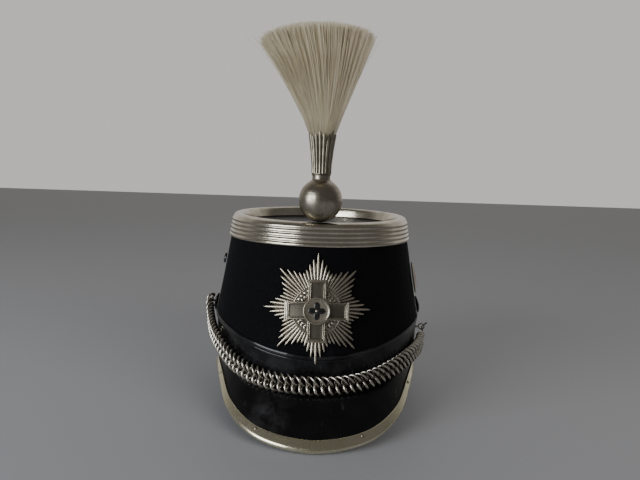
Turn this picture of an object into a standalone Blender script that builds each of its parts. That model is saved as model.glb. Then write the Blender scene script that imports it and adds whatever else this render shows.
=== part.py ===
"""A parade shako: felt crown, metal top band, leather base band and peak, star badge, chain and plume.

Metres, +Z up. The front of the hat faces -Y. The hat stands on the back of its lower edge and on the
tip of its peak, both at z = 0, and its whole outline, peak and chain included, is centred on x = 0, y = 0.
Angles round the hat start at the front and grow towards +X.
"""

import math
import random
from collections import namedtuple

import bmesh
import bpy
from mathutils import Matrix, Vector

# Clearance between pieces that lie on each other.
GAP = 0.0003

# The crown, an oval that is straight up the leather and leans in above it.
OVAL_CENTRE_Y = 0.0175
RIM_HALF_WIDTH = 0.0850
RIM_HALF_LENGTH = 0.1033
BELLY_HALF_WIDTH = 0.0866
BELLY_HALF_LENGTH = 0.1052
TOP_HALF_WIDTH = 0.0721
TOP_HALF_LENGTH = 0.0835
TOP_HEIGHT = 0.1503
RING_SIDES = 32

# Heights of the lower edge and of the leather band's upper edge: front, sides and back.
Levels = namedtuple("Levels", "front side back")
RIM_LEVELS = Levels(front=0.0296, side=0.0288, back=-0.0020)
BELLY_LEVELS = Levels(front=0.0558, side=0.0661, back=0.0279)

FELT_THICKNESS = 0.0018
FELT_TOP_HEIGHT = 0.1476
FELT_LEDGE = 0.0015
FELT_RIM_LIFT = 0.0010
LEATHER_THICKNESS = 0.0012
WELT_RISE = 0.0009
WELT_HEIGHT = 0.0040
DISC_HEIGHT = 0.1424
DISC_THICKNESS = 0.0020

# The ribbed metal band round the top.
BAND_BOTTOM = 0.1311
BAND_THICKNESS = 0.0011
BAND_RIBS = 5
BAND_RIB_RISE = 0.0008
BAND_RIBS_TOP = 0.1470
Row = namedtuple("Row", "offset height")
BAND_SHOULDER = (
    Row(offset=0.0009, height=0.1491),
    Row(offset=-0.0010, height=0.1503),
    Row(offset=-0.0038, height=0.1503),
    Row(offset=-0.0086, height=0.1430),
    Row(offset=-0.0077, height=0.1428),
    Row(offset=-0.0036, height=0.1489),
)

# The peak: its reach from the lower edge at each angle, and how steeply it falls.
Reach = namedtuple("Reach", "angle reach")
PEAK_REACHES = (
    Reach(angle=0, reach=0.0463),
    Reach(angle=18, reach=0.0410),
    Reach(angle=36, reach=0.0279),
    Reach(angle=52, reach=0.0135),
    Reach(angle=66, reach=0.0066),
)
PEAK_END_ANGLE = 66.0
PEAK_SECTIONS = 24
PEAK_FRONT_SLOPE = math.radians(37.6)
PEAK_SIDE_SLOPE = math.radians(65.3)
PEAK_THICKNESS = 0.0022
PEAK_ROOT_CLEARANCE = 0.0005
PEAK_CROWNING = 0.0008
BINDING_METAL = 0.0007
BINDING_CLEARANCE = 0.0004
BINDING_FRONT_WIDTH = 0.0082
BINDING_SIDE_WIDTH = 0.0060
BINDING_UNDER_WIDTH = 0.0045
BINDING_NOSE = 0.0005
RIVET_ANGLES = (-53.0, -19.3, 16.2, 50.5)
RIVET_RADIUS = 0.0011
RIVET_RISE = 0.0007

# The badge, bent round the front of the crown.
BADGE_HEIGHT = 0.0870
BADGE_BEND_RADIUS = 0.100
BADGE_STANDOFF = 0.0009
STAR_RAYS = 64
STAR_LIFT = 0.0021
STAR_TIP_RADII = (0.0391, 0.0345, 0.0312, 0.0281, 0.0268, 0.0281, 0.0312, 0.0345)
STAR_NOTCH_SHARE = 0.87
STAR_HUB_RADIUS = 0.0172
STAR_TIP_RISE = 0.0007
STAR_NOTCH_RISE = 0.0003
STAR_HUB_RISE = 0.0017
WREATH_LEAVES = 12
WREATH_INNER_RADIUS = 0.0112
WREATH_OUTER_RADIUS = 0.0168
WREATH_RISE = 0.0027
CROSS_HALF_SPAN = 0.0221
CROSS_HALF_ARM = 0.0062
CROSS_BACK = 0.0033
CROSS_THICKNESS = 0.0011
CROSS_FRAME = 0.0016
CROSS_SINK = 0.0004
ROUNDEL_RADIUS = 0.0095
ROUNDEL_BACK = 0.0047
ROUNDEL_RIM = 0.0011
ROUNDEL_THICKNESS = 0.0012
ROUNDEL_SINK = 0.0005
ROUNDEL_SIDES = 20
FLOWER_PETALS = 4
FLOWER_RADIUS = 0.0062
FLOWER_WAIST = 0.0026
FLOWER_THICKNESS = 0.0006

# The plume and what holds it.
BALL_CENTRE = Vector((0.0, -0.0600, 0.1646))
BALL_RADIUS = 0.0160
BALL_SIDES = 14
BALL_RINGS = 8
NECK_RADIUS = 0.0066
NECK_RING_RADIUS = 0.0074
NECK_TOP = 0.1836
POST_RADIUS = 0.0020
POST_Y = -0.0530
SOCKET_FLUTES = 12
SOCKET_TIP_HEIGHT = 0.2150
SOCKET_WALL = 0.0008
SOCKET_FLUTE_SHARE = 0.08
Turn = namedtuple("Turn", "radius height")
SOCKET_PROFILE = (
    Turn(radius=0.0068, height=0.1839),
    Turn(radius=0.0070, height=0.1905),
    Turn(radius=0.0084, height=0.2010),
    Turn(radius=0.0098, height=0.2088),
)
PLUME_LOCKS = 9
PLUME_BASE_HEIGHT = 0.2062
PLUME_BASE_RADIUS = 0.0063
PLUME_TOP_HEIGHT = 0.2872
PLUME_TOP_RADIUS = 0.0405
PLUME_LEAN = -0.0062
PLUME_SEED = 7
Lock = namedtuple("Lock", "rise reach half_width depth")
PLUME_HEAD_ROWS = ((0.0, 0.0), (0.13, 0.10), (0.5, 0.48), (0.9, 0.86), (0.985, 0.62))
PLUME_LOCK_ROWS = (
    Lock(rise=0.02, reach=0.00, half_width=0.0024, depth=0.0020),
    Lock(rise=0.14, reach=0.12, half_width=0.0034, depth=0.0028),
    Lock(rise=0.50, reach=0.54, half_width=0.0066, depth=0.0050),
    Lock(rise=0.90, reach=1.00, half_width=0.0105, depth=0.0070),
    Lock(rise=0.97, reach=0.92, half_width=0.0090, depth=0.0060),
    Lock(rise=1.00, reach=0.70, half_width=0.0046, depth=0.0040),
)

# The chain, its links bent to lie side by side.
LINK_HALF_LENGTH = 0.0034
LINK_HALF_HEIGHT = 0.0055
LINK_WIRE_RADIUS = 0.00085
LINK_PITCH = 0.0052
LINK_TWIST = math.radians(46.0)
LINK_SIDES = 10
WIRE_SIDES = 5
WIRE_TURN = 0.3
CHAIN_START = 0.0008
Stop = namedtuple("Stop", "angle height standoff")
CHAIN_ROUTE = (
    Stop(angle=-90, height=0.0704, standoff=0.0082),
    Stop(angle=-84, height=0.0605, standoff=0.0066),
    Stop(angle=-76, height=0.0560, standoff=0.0050),
    Stop(angle=-66, height=0.0522, standoff=0.0043),
    Stop(angle=-55, height=0.0475, standoff=0.0043),
    Stop(angle=-42, height=0.0409, standoff=0.0043),
    Stop(angle=-28, height=0.0367, standoff=0.0043),
    Stop(angle=-14, height=0.0353, standoff=0.0043),
    Stop(angle=0, height=0.0350, standoff=0.0043),
    Stop(angle=14, height=0.0354, standoff=0.0043),
    Stop(angle=28, height=0.0379, standoff=0.0043),
    Stop(angle=42, height=0.0422, standoff=0.0043),
    Stop(angle=56, height=0.0455, standoff=0.0043),
    Stop(angle=68, height=0.0465, standoff=0.0045),
    Stop(angle=80, height=0.0478, standoff=0.0050),
)

# Fittings at the sides.
BOSS_RADIUS = 0.0078
BOSS_DEPTH = 0.0026
BOSS_STANDOFF = 0.0018
DISC_STANDOFF = 0.0006
BOSS_SIDES = 12
Spot = namedtuple("Spot", "angle height")
LEFT_BOSS = Spot(angle=-90, height=0.0692)
RIGHT_BOSS = Spot(angle=90, height=0.0723)
PEG_RADIUS = 0.0010
PEG_HEAD_RADIUS = 0.0014
PEG_LENGTH = 0.0090
PEG_HEAD_LENGTH = 0.0010
VENT = Spot(angle=-82, height=0.1105)
VENT_RADIUS = 0.0046
VENT_DEPTH = 0.0022
COCKADE = Spot(angle=82, height=0.0985)
COCKADE_RADIUS = 0.0135
COCKADE_DEPTH = 0.0024
COCKADE_SIDES = 16
CATCH_WIRE = 0.00045
CATCH_ROUTE = (
    Spot(angle=-57.0, height=0.0608),
    Spot(angle=-58.5, height=0.0615),
    Spot(angle=-60.0, height=0.0606),
    Spot(angle=-60.5, height=0.0580),
    Spot(angle=-60.3, height=0.0500),
)
RING_CENTRE = Vector((0.0915, 0.0075, 0.0549))
RING_RADIUS = 0.0025
RING_WIRE = 0.0005
HOOK_WIRE = 0.0006

FELT = ((0.010, 0.010, 0.012), 0.85, 0.0)
BLACK_LEATHER = ((0.012, 0.012, 0.014), 0.30, 0.0)
NICKEL = ((0.62, 0.60, 0.54), 0.30, 1.0)
OLD_SILVER = ((0.42, 0.40, 0.35), 0.40, 1.0)
YELLOWED_NICKEL = ((0.50, 0.48, 0.38), 0.35, 1.0)
BLACK_LACQUER = ((0.008, 0.008, 0.008), 0.25, 0.0)
HORSEHAIR = ((0.50, 0.46, 0.36), 0.70, 0.0)
RED_CLOTH = ((0.25, 0.02, 0.02), 0.80, 0.0)


def clear_scene():
    for obj in list(bpy.data.objects):
        bpy.data.objects.remove(obj, do_unlink=True)


def make_collection(name):
    collection = bpy.data.collections.new(name)
    bpy.context.scene.collection.children.link(collection)
    return collection


def make_material(name, look):
    colour, roughness, metallic = look
    material = bpy.data.materials.new(name)
    material.use_nodes = True
    shader = material.node_tree.nodes["Principled BSDF"]
    shader.inputs["Base Color"].default_value = (*colour, 1.0)
    shader.inputs["Roughness"].default_value = roughness
    shader.inputs["Metallic"].default_value = metallic
    material.diffuse_color = (*colour, 1.0)
    return material


def make_object(name, bm, look, smooth_angle=math.radians(40)):
    """The finished mesh as a named object with a material of its own, its faces pointing out."""
    bmesh.ops.recalc_face_normals(bm, faces=bm.faces[:])
    mesh = bpy.data.meshes.new(name)
    bm.to_mesh(mesh)
    bm.free()
    mesh.shade_smooth()
    mesh.set_sharp_from_angle(angle=smooth_angle)
    obj = bpy.data.objects.new(name, mesh)
    obj.data.materials.append(make_material(name, look))
    PARTS.objects.link(obj)
    return obj


def make_cutter(name, bm):
    bmesh.ops.recalc_face_normals(bm, faces=bm.faces[:])
    mesh = bpy.data.meshes.new(name)
    bm.to_mesh(mesh)
    bm.free()
    obj = bpy.data.objects.new(name, mesh)
    obj.hide_render = True
    obj.display_type = "WIRE"
    HELPERS.objects.link(obj)
    return obj


def add_boolean(obj, other, operation):
    modifier = obj.modifiers.new(other.name, "BOOLEAN")
    modifier.operation = operation
    modifier.solver = "EXACT"
    modifier.object = other


def mix(low, high, share):
    return low + (high - low) * share


def smooth_value(rows, column, angle):
    """The value at an angle on a smooth curve through one column of a table."""
    values = [getattr(row, column) for row in rows]
    low = 0
    while low < len(rows) - 2 and angle > rows[low + 1].angle:
        low += 1
    before = values[max(low - 1, 0)]
    start = values[low]
    end = values[low + 1]
    after = values[min(low + 2, len(rows) - 1)]
    share = (angle - rows[low].angle) / (rows[low + 1].angle - rows[low].angle)
    bend = 2 * before - 5 * start + 4 * end - after
    twist = 3 * start - before - 3 * end + after
    return start + 0.5 * share * (end - before + share * (bend + share * twist))


def wave(levels, angle):
    """A height that passes smoothly through its front, side and back levels."""
    ends = (levels.front + levels.back) / 2
    middle = (ends + levels.side) / 2
    swing = (levels.front - levels.back) / 2
    fold = (ends - levels.side) / 2
    return middle + swing * math.cos(angle) + fold * math.cos(2 * angle)


def rim_height(angle):
    """The lower edge, flat where it stands at the back and arched over the ears."""
    return max(0.0, wave(RIM_LEVELS, angle))


def oval_point(half_width, half_length, angle, height):
    return Vector((half_width * math.sin(angle), OVAL_CENTRE_Y - half_length * math.cos(angle), height))


def oval_normal(half_width, half_length, angle):
    return Vector((math.sin(angle) / half_width, -math.cos(angle) / half_length, 0.0)).normalized()


def lower_point(angle, share, offset, lift=0.0):
    """A point on the base, from the lower edge at share 0 to the leather's upper edge at share 1."""
    half_width = mix(RIM_HALF_WIDTH, BELLY_HALF_WIDTH, share) + offset
    half_length = mix(RIM_HALF_LENGTH, BELLY_HALF_LENGTH, share) + offset
    height = mix(rim_height(angle), wave(BELLY_LEVELS, angle), share) + lift
    return oval_point(half_width, half_length, angle, height)


def upper_point(angle, height, offset):
    """A point on the felt above the leather, at a height and an offset outwards."""
    belly = wave(BELLY_LEVELS, angle)
    share = (height - belly) / (TOP_HEIGHT - belly)
    half_width = mix(BELLY_HALF_WIDTH, TOP_HALF_WIDTH, share) + offset
    half_length = mix(BELLY_HALF_LENGTH, TOP_HALF_LENGTH, share) + offset
    return oval_point(half_width, half_length, angle, height)


def side_point(angle, height, offset):
    """A point on the outside of the hat at any height, with an offset outwards."""
    belly = wave(BELLY_LEVELS, angle)
    if height > belly:
        return upper_point(angle, height, offset)
    rim = rim_height(angle)
    return lower_point(angle, (height - rim) / (belly - rim), offset)


def ring_angles():
    return [2 * math.pi * step / RING_SIDES for step in range(RING_SIDES)]


def ring_solid(rings):
    """A closed wall that runs round the hat: each ring joins the next one and the last joins the first."""
    bm = bmesh.new()
    loops = [[bm.verts.new(point) for point in ring] for ring in rings]
    for index, loop in enumerate(loops):
        following = loops[(index + 1) % len(loops)]
        for step in range(len(loop)):
            ahead = (step + 1) % len(loop)
            bm.faces.new((loop[step], loop[ahead], following[ahead], following[step]))
    return bm


def strip_solid(sections):
    """A closed bar through a list of like outlines, with a cap at each end."""
    bm = bmesh.new()
    loops = [[bm.verts.new(point) for point in section] for section in sections]
    for loop, following in zip(loops, loops[1:]):
        for step in range(len(loop)):
            ahead = (step + 1) % len(loop)
            bm.faces.new((loop[step], loop[ahead], following[ahead], following[step]))
    bm.faces.new(loops[0])
    bm.faces.new(loops[-1][::-1])
    return bm


def crown_body():
    """The felt wall: a ledge at the leather's upper edge lets the leather lie flush with the felt."""
    inset = -FELT_LEDGE - FELT_THICKNESS
    angles = ring_angles()
    rings = (
        [upper_point(angle, FELT_TOP_HEIGHT, 0.0) for angle in angles],
        [lower_point(angle, 1.0, 0.0, GAP) for angle in angles],
        [lower_point(angle, 1.0, -FELT_LEDGE, GAP) for angle in angles],
        [lower_point(angle, 0.0, -FELT_LEDGE, FELT_RIM_LIFT) for angle in angles],
        [lower_point(angle, 0.0, inset, FELT_RIM_LIFT) for angle in angles],
        [lower_point(angle, 1.0, inset) for angle in angles],
        [upper_point(angle, FELT_TOP_HEIGHT, -FELT_THICKNESS) for angle in angles],
    )
    return make_object("crown_body", ring_solid(rings), FELT)


def crown_top():
    """The leather disc that closes the crown, sunk below the band's lip."""
    offset = -FELT_THICKNESS - 2 * GAP
    levels = (DISC_HEIGHT - DISC_THICKNESS, DISC_HEIGHT)
    sections = [[upper_point(angle, height, offset) for angle in ring_angles()] for height in levels]
    return make_object("crown_top", strip_solid(sections), BLACK_LEATHER)


def base_band():
    """The leather round the base, with a rolled welt along its upper edge."""
    angles = ring_angles()
    inset = -LEATHER_THICKNESS
    rings = (
        [lower_point(angle, 0.0, 0.0) for angle in angles],
        [lower_point(angle, 1.0, 0.0, -WELT_HEIGHT - WELT_RISE) for angle in angles],
        [lower_point(angle, 1.0, WELT_RISE, -WELT_HEIGHT) for angle in angles],
        [lower_point(angle, 1.0, WELT_RISE) for angle in angles],
        [lower_point(angle, 1.0, inset) for angle in angles],
        [lower_point(angle, 0.0, inset) for angle in angles],
    )
    return make_object("base_band", ring_solid(rings), BLACK_LEATHER)


def band_rows():
    """The band's section: ribs up the outside, over the rounded shoulder, down the lip and back inside."""
    rows = [Row(BAND_THICKNESS + GAP, BAND_BOTTOM)]
    pitch = (BAND_RIBS_TOP - BAND_BOTTOM) / BAND_RIBS
    for rib in range(BAND_RIBS):
        valley = BAND_BOTTOM + rib * pitch
        rows.append(Row(BAND_THICKNESS + GAP + BAND_RIB_RISE, valley + pitch / 2))
        rows.append(Row(BAND_THICKNESS + GAP, valley + pitch))
    rows.extend(BAND_SHOULDER)
    rows.append(Row(GAP, FELT_TOP_HEIGHT + GAP))
    rows.append(Row(GAP, BAND_BOTTOM))
    return rows


def top_band():
    """The ribbed metal band. The ball of the plume sits in a shallow dish cut in its front."""
    rings = [[upper_point(angle, row.height, row.offset) for angle in ring_angles()] for row in band_rows()]
    band = make_object("top_band", ring_solid(rings), NICKEL)
    bm = bmesh.new()
    place = Matrix.Translation(BALL_CENTRE)
    bmesh.ops.create_uvsphere(
        bm, u_segments=BALL_SIDES, v_segments=BALL_RINGS, radius=BALL_RADIUS + 2 * GAP, matrix=place
    )
    add_boolean(band, make_cutter("ball_dish", bm), "DIFFERENCE")
    return band


class PeakSection:
    """The peak's section at one angle: where it leaves the lower edge, which way it runs and how far."""

    def __init__(self, degrees):
        angle = math.radians(degrees)
        share = abs(degrees) / PEAK_END_ANGLE
        slope = mix(PEAK_FRONT_SLOPE, PEAK_SIDE_SLOPE, share**2)
        outward = oval_normal(RIM_HALF_WIDTH, RIM_HALF_LENGTH, angle)
        self.root = oval_point(RIM_HALF_WIDTH, RIM_HALF_LENGTH, angle, rim_height(angle))
        self.along = outward * math.cos(slope) - Vector((0, 0, math.sin(slope)))
        self.up = outward * math.sin(slope) + Vector((0, 0, math.cos(slope)))
        self.reach = smooth_value(PEAK_REACHES, "reach", abs(degrees))
        self.width = min(mix(BINDING_FRONT_WIDTH, BINDING_SIDE_WIDTH, share), self.reach - PEAK_ROOT_CLEARANCE)

    def crown(self, distance):
        """The peak's slight rounding between its root and its edge."""
        share = distance / self.reach
        return 4 * PEAK_CROWNING * share * (1 - share) * self.reach / PEAK_REACHES[0].reach

    def point(self, distance, rise):
        place = self.root + self.along * distance + self.up * (rise + self.crown(distance))
        return Vector((place.x, place.y, max(place.z, 0.0)))


def peak_sections():
    step = 2 * PEAK_END_ANGLE / PEAK_SECTIONS
    return [PeakSection(-PEAK_END_ANGLE + step * index) for index in range(PEAK_SECTIONS + 1)]


def peak():
    half = PEAK_THICKNESS / 2
    outlines = []
    for section in peak_sections():
        edge = section.reach - BINDING_METAL - BINDING_CLEARANCE
        stations = (PEAK_ROOT_CLEARANCE, section.reach * 0.5, edge)
        top = [section.point(station, half) for station in stations]
        bottom = [section.point(station, -half) for station in reversed(stations)]
        outlines.append(top + bottom)
    return make_object("peak", strip_solid(outlines), BLACK_LEATHER)


def binding_outline(section):
    """A folded strip of metal over the peak's edge, open towards the hat."""
    inside = PEAK_THICKNESS / 2 + BINDING_CLEARANCE
    outside = inside + BINDING_METAL
    edge = section.reach
    under = edge - min(BINDING_UNDER_WIDTH, section.width)
    corners = (
        (edge - section.width, inside),
        (edge - section.width, outside),
        (edge - BINDING_NOSE, outside),
        (edge, 0.0),
        (edge - BINDING_NOSE, -outside),
        (under, -outside),
        (under, -inside),
        (edge - BINDING_METAL, -inside),
        (edge - BINDING_METAL, inside),
    )
    return [section.point(distance, rise) for distance, rise in corners]


def peak_binding():
    outlines = [binding_outline(section) for section in peak_sections()]
    return make_object("peak_binding", strip_solid(outlines), YELLOWED_NICKEL)


def disc_solid(centre, outward, outline, sides):
    """A turned piece: an outline of (radius, rise) pairs spun round an axis, from its back to its front."""
    turn = outward.to_track_quat("Z", "Y").to_matrix().to_4x4()
    place = Matrix.Translation(centre) @ turn
    sections = []
    for radius, rise in outline:
        ring = []
        for step in range(sides):
            angle = 2 * math.pi * step / sides
            ring.append(place @ Vector((radius * math.cos(angle), radius * math.sin(angle), rise)))
        sections.append(ring)
    return strip_solid(sections)


def rivets():
    """Small rivet heads that hold the binding to the peak."""
    for number, degrees in enumerate(RIVET_ANGLES, start=1):
        section = PeakSection(degrees)
        rise = PEAK_THICKNESS / 2 + BINDING_CLEARANCE + BINDING_METAL + GAP
        centre = section.point(section.reach - section.width * 0.72, rise)
        outline = ((RIVET_RADIUS, 0.0), (RIVET_RADIUS * 0.55, RIVET_RISE))
        make_object(f"peak_rivet_{number}", disc_solid(centre, section.up, outline, 6), OLD_SILVER)


def badge_axes():
    """The badge's centre on the crown's front, the way up along the front and the way out from it."""
    belly = wave(BELLY_LEVELS, 0.0)
    lean = math.atan2(BELLY_HALF_LENGTH - TOP_HALF_LENGTH, TOP_HEIGHT - belly)
    upward = Vector((0, math.sin(lean), math.cos(lean)))
    outward = Vector((0, -math.cos(lean), math.sin(lean)))
    return upper_point(0.0, BADGE_HEIGHT, BADGE_STANDOFF), upward, outward


def flat_point(across, up, rise):
    """A point on the flat middle of the badge."""
    centre, upward, outward = badge_axes()
    return centre + Vector((across, 0, 0)) + upward * up + outward * rise


def bent_point(across, up, rise):
    """A point on the badge's plates, which are bent round an axis that runs up the crown's front."""
    turn = across / BADGE_BEND_RADIUS
    radius = BADGE_BEND_RADIUS + rise
    return flat_point(radius * math.sin(turn), up, radius * math.cos(turn) - BADGE_BEND_RADIUS)


def badge_ring(radii, rises, place=bent_point):
    """Points round the badge's centre, with a radius and a rise for each."""
    points = []
    for index, (radius, rise) in enumerate(zip(radii, rises)):
        angle = 2 * math.pi * index / len(radii)
        points.append(place(radius * math.sin(angle), radius * math.cos(angle), rise))
    return points


def star_point(across, up, rise):
    """A point on the star, whose centre lies a little above the cross's."""
    return bent_point(across, up + STAR_LIFT, rise)


def star_solid():
    """A thin plate whose long and short rays rise to a flat hub."""
    radii = []
    for ray in range(STAR_RAYS):
        tip = STAR_TIP_RADII[ray % len(STAR_TIP_RADII)]
        following = STAR_TIP_RADII[(ray + 1) % len(STAR_TIP_RADII)]
        radii.extend((tip, min(tip, following) * STAR_NOTCH_SHARE))
    count = len(radii)
    hub = [STAR_HUB_RADIUS] * count
    sections = (
        badge_ring(hub, [0.0] * count, star_point),
        badge_ring(radii, [STAR_TIP_RISE, STAR_NOTCH_RISE] * STAR_RAYS, star_point),
        badge_ring(hub, [STAR_HUB_RISE] * count, star_point),
    )
    return strip_solid(sections)


def wreath_solid():
    """A ring of raised leaves round the middle of the star."""
    count = 2 * WREATH_LEAVES
    outer = [WREATH_OUTER_RADIUS * 0.93, WREATH_OUTER_RADIUS] * WREATH_LEAVES
    inner = [WREATH_INNER_RADIUS * 1.07, WREATH_INNER_RADIUS] * WREATH_LEAVES
    crest = [(WREATH_INNER_RADIUS + WREATH_OUTER_RADIUS) / 2] * count
    low = [STAR_HUB_RISE / 2] * count
    rings = (badge_ring(inner, low), badge_ring(crest, [WREATH_RISE] * count), badge_ring(outer, low))
    return ring_solid(rings)


def badge_star():
    star = make_object("badge_star", star_solid(), NICKEL, math.radians(15))
    add_boolean(star, make_cutter("wreath", wreath_solid()), "UNION")
    return star


def cross_outline(inset):
    """The corners of a cross with arms of equal length, its side arms halved so that they can bend."""
    span = CROSS_HALF_SPAN - inset
    arm = CROSS_HALF_ARM - inset
    half = (CROSS_HALF_SPAN + CROSS_HALF_ARM) / 2
    upper = [(arm, span), (arm, arm), (half, arm), (span, arm)]
    right = upper + [(across, -up) for across, up in reversed(upper)]
    return right + [(-across, up) for across, up in reversed(right)]


# The corners that each face of a cross's front and back joins.
CROSS_FACES = (
    (0, 1, 14, 15),
    (1, 6, 9, 14),
    (6, 7, 8, 9),
    (1, 2, 5, 6),
    (2, 3, 4, 5),
    (14, 9, 10, 13),
    (13, 10, 11, 12),
)


def cross_solid():
    """A bent cross whose arms have a raised frame round a sunk field."""
    front = CROSS_BACK + CROSS_THICKNESS
    levels = (
        (0.0, CROSS_BACK),
        (0.0, front),
        (CROSS_FRAME, front),
        (CROSS_FRAME + CROSS_SINK, front - CROSS_SINK),
    )
    bm = bmesh.new()
    loops = []
    for inset, rise in levels:
        loops.append([bm.verts.new(bent_point(across, up, rise)) for across, up in cross_outline(inset)])
    for loop, following in zip(loops, loops[1:]):
        for step in range(len(loop)):
            ahead = (step + 1) % len(loop)
            bm.faces.new((loop[step], loop[ahead], following[ahead], following[step]))
    for corners in CROSS_FACES:
        bm.faces.new([loops[0][corner] for corner in corners])
        bm.faces.new([loops[-1][corner] for corner in reversed(corners)])
    return bm


def badge_cross():
    return make_object("badge_cross", cross_solid(), NICKEL, math.radians(15))


def badge_roundel():
    """A small flat dish with a raised rim over the middle of the cross."""
    front = ROUNDEL_BACK + ROUNDEL_THICKNESS
    levels = (
        (ROUNDEL_RADIUS, ROUNDEL_BACK),
        (ROUNDEL_RADIUS, front),
        (ROUNDEL_RADIUS - ROUNDEL_RIM, front),
        (ROUNDEL_RADIUS - ROUNDEL_RIM - ROUNDEL_SINK, front - ROUNDEL_SINK),
    )
    sections = []
    for radius, rise in levels:
        sections.append(badge_ring([radius] * ROUNDEL_SIDES, [rise] * ROUNDEL_SIDES, flat_point))
    return make_object("badge_roundel", strip_solid(sections), NICKEL)


def badge_flower():
    """A plain dark flower of four petals in the roundel."""
    count = 4 * FLOWER_PETALS
    radii = []
    for step in range(count):
        swing = 0.5 + 0.5 * math.cos(2 * math.pi * FLOWER_PETALS * step / count)
        radii.append(mix(FLOWER_WAIST, FLOWER_RADIUS, swing))
    back = ROUNDEL_BACK + ROUNDEL_THICKNESS - ROUNDEL_SINK + GAP
    sections = [badge_ring(radii, [rise] * count, flat_point) for rise in (back, back + FLOWER_THICKNESS)]
    return make_object("badge_flower", strip_solid(sections), BLACK_LACQUER)


def plume_ball():
    """The ball under the plume, with its neck and a plain post behind it that stands on the crown's top."""
    start = math.asin(NECK_RADIUS / BALL_RADIUS)
    profile = [(NECK_RADIUS, NECK_TOP), (NECK_RING_RADIUS, NECK_TOP - 0.0008), (NECK_RADIUS, NECK_TOP - 0.0016)]
    for ring in range(BALL_RINGS):
        angle = mix(start, math.pi * 0.97, ring / (BALL_RINGS - 1))
        profile.append((BALL_RADIUS * math.sin(angle), BALL_CENTRE.z + BALL_RADIUS * math.cos(angle)))
    foot = Vector((BALL_CENTRE.x, BALL_CENTRE.y, 0.0))
    ball = make_object(
        "plume_ball", disc_solid(foot, Vector((0, 0, 1)), profile[::-1], BALL_SIDES), OLD_SILVER
    )
    bm = bmesh.new()
    bottom = DISC_HEIGHT + GAP
    top = BALL_CENTRE.z - BALL_RADIUS * 0.5
    place = Matrix.Translation((0, POST_Y, (bottom + top) / 2))
    bmesh.ops.create_cone(
        bm, cap_ends=True, segments=8, radius1=POST_RADIUS, radius2=POST_RADIUS, depth=top - bottom, matrix=place
    )
    add_boolean(ball, make_cutter("post", bm), "UNION")
    return ball


def fluted_ring(radius, height, tip_height=None):
    """A ring of ribs and grooves. With a tip height, its ribs end in points."""
    points = []
    steps = 2 * SOCKET_FLUTES
    for step in range(steps):
        angle = 2 * math.pi * step / steps
        on_rib = step % 2 == 0
        reach = radius * (1 + SOCKET_FLUTE_SHARE * (1 if on_rib else -1))
        level = tip_height if tip_height and on_rib else height
        points.append(Vector((reach * math.sin(angle), BALL_CENTRE.y - reach * math.cos(angle), level)))
    return points


def plume_socket():
    """The fluted cup of leaves that holds the plume, hollow at the top."""
    outer = [fluted_ring(turn.radius, turn.height) for turn in SOCKET_PROFILE[:-1]]
    mouth = SOCKET_PROFILE[-1]
    tips = fluted_ring(mouth.radius, mouth.height, SOCKET_TIP_HEIGHT)
    lip = fluted_ring(mouth.radius - SOCKET_WALL, mouth.height, SOCKET_TIP_HEIGHT)
    floor = SOCKET_PROFILE[-2]
    inner = fluted_ring(floor.radius - SOCKET_WALL, floor.height + SOCKET_WALL)
    return make_object("plume_socket", strip_solid([*outer, tips, lip, inner]), OLD_SILVER, math.radians(30))


def plume_spot(angle, radius, share):
    """A point in the plume at a share of its height. The plume leans a little to one side as it rises."""
    height = mix(PLUME_BASE_HEIGHT, PLUME_TOP_HEIGHT, share)
    x = radius * math.sin(angle) + PLUME_LEAN * share * share
    return Vector((x, BALL_CENTRE.y - radius * math.cos(angle), height))


def lock_solid(angle, length, spread):
    """One lock of hair: it rises from the socket, spreads and ends in a blunt tip."""
    outward = Vector((math.sin(angle), -math.cos(angle), 0))
    across = Vector((math.cos(angle), math.sin(angle), 0))
    sections = []
    for row in PLUME_LOCK_ROWS:
        outer = mix(PLUME_BASE_RADIUS, PLUME_TOP_RADIUS * spread, row.reach)
        spot = plume_spot(angle, outer - row.depth, row.rise * length)
        half = across * row.half_width
        depth = outward * row.depth
        corners = (half, depth + half * 0.45, depth - half * 0.45, -half, -depth)
        sections.append([spot + corner for corner in corners])
    return strip_solid(sections)


def plume():
    """Locks of horsehair joined to a flared head."""
    chance = random.Random(PLUME_SEED)
    steps = 2 * PLUME_LOCKS
    sections = []
    for rise, reach in PLUME_HEAD_ROWS:
        radius = mix(PLUME_BASE_RADIUS, PLUME_TOP_RADIUS, reach)
        sections.append([plume_spot(2 * math.pi * step / steps, radius, rise) for step in range(steps)])
    head = make_object("plume", strip_solid(sections), HORSEHAIR)
    for number in range(PLUME_LOCKS):
        angle = 2 * math.pi * (number + chance.uniform(-0.15, 0.15)) / PLUME_LOCKS
        solid = lock_solid(angle, chance.uniform(0.97, 1.0), chance.uniform(0.96, 1.0))
        add_boolean(head, make_cutter(f"lock_{number + 1}", solid), "UNION")
    return head


def chain_points():
    """Evenly spaced centres of the links along the chain's route."""
    fine = []
    first = CHAIN_ROUTE[0].angle
    last = CHAIN_ROUTE[-1].angle
    steps = 600
    for step in range(steps + 1):
        degrees = mix(first, last, step / steps)
        height = smooth_value(CHAIN_ROUTE, "height", degrees)
        standoff = smooth_value(CHAIN_ROUTE, "standoff", degrees)
        fine.append(side_point(math.radians(degrees), height, standoff))
    points = []
    travelled = 0.0
    for start, end in zip(fine, fine[1:]):
        length = (end - start).length
        wanted = CHAIN_START + LINK_PITCH * len(points)
        if travelled + length >= wanted:
            points.append(start.lerp(end, (wanted - travelled) / length))
        travelled += length
    return points


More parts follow.
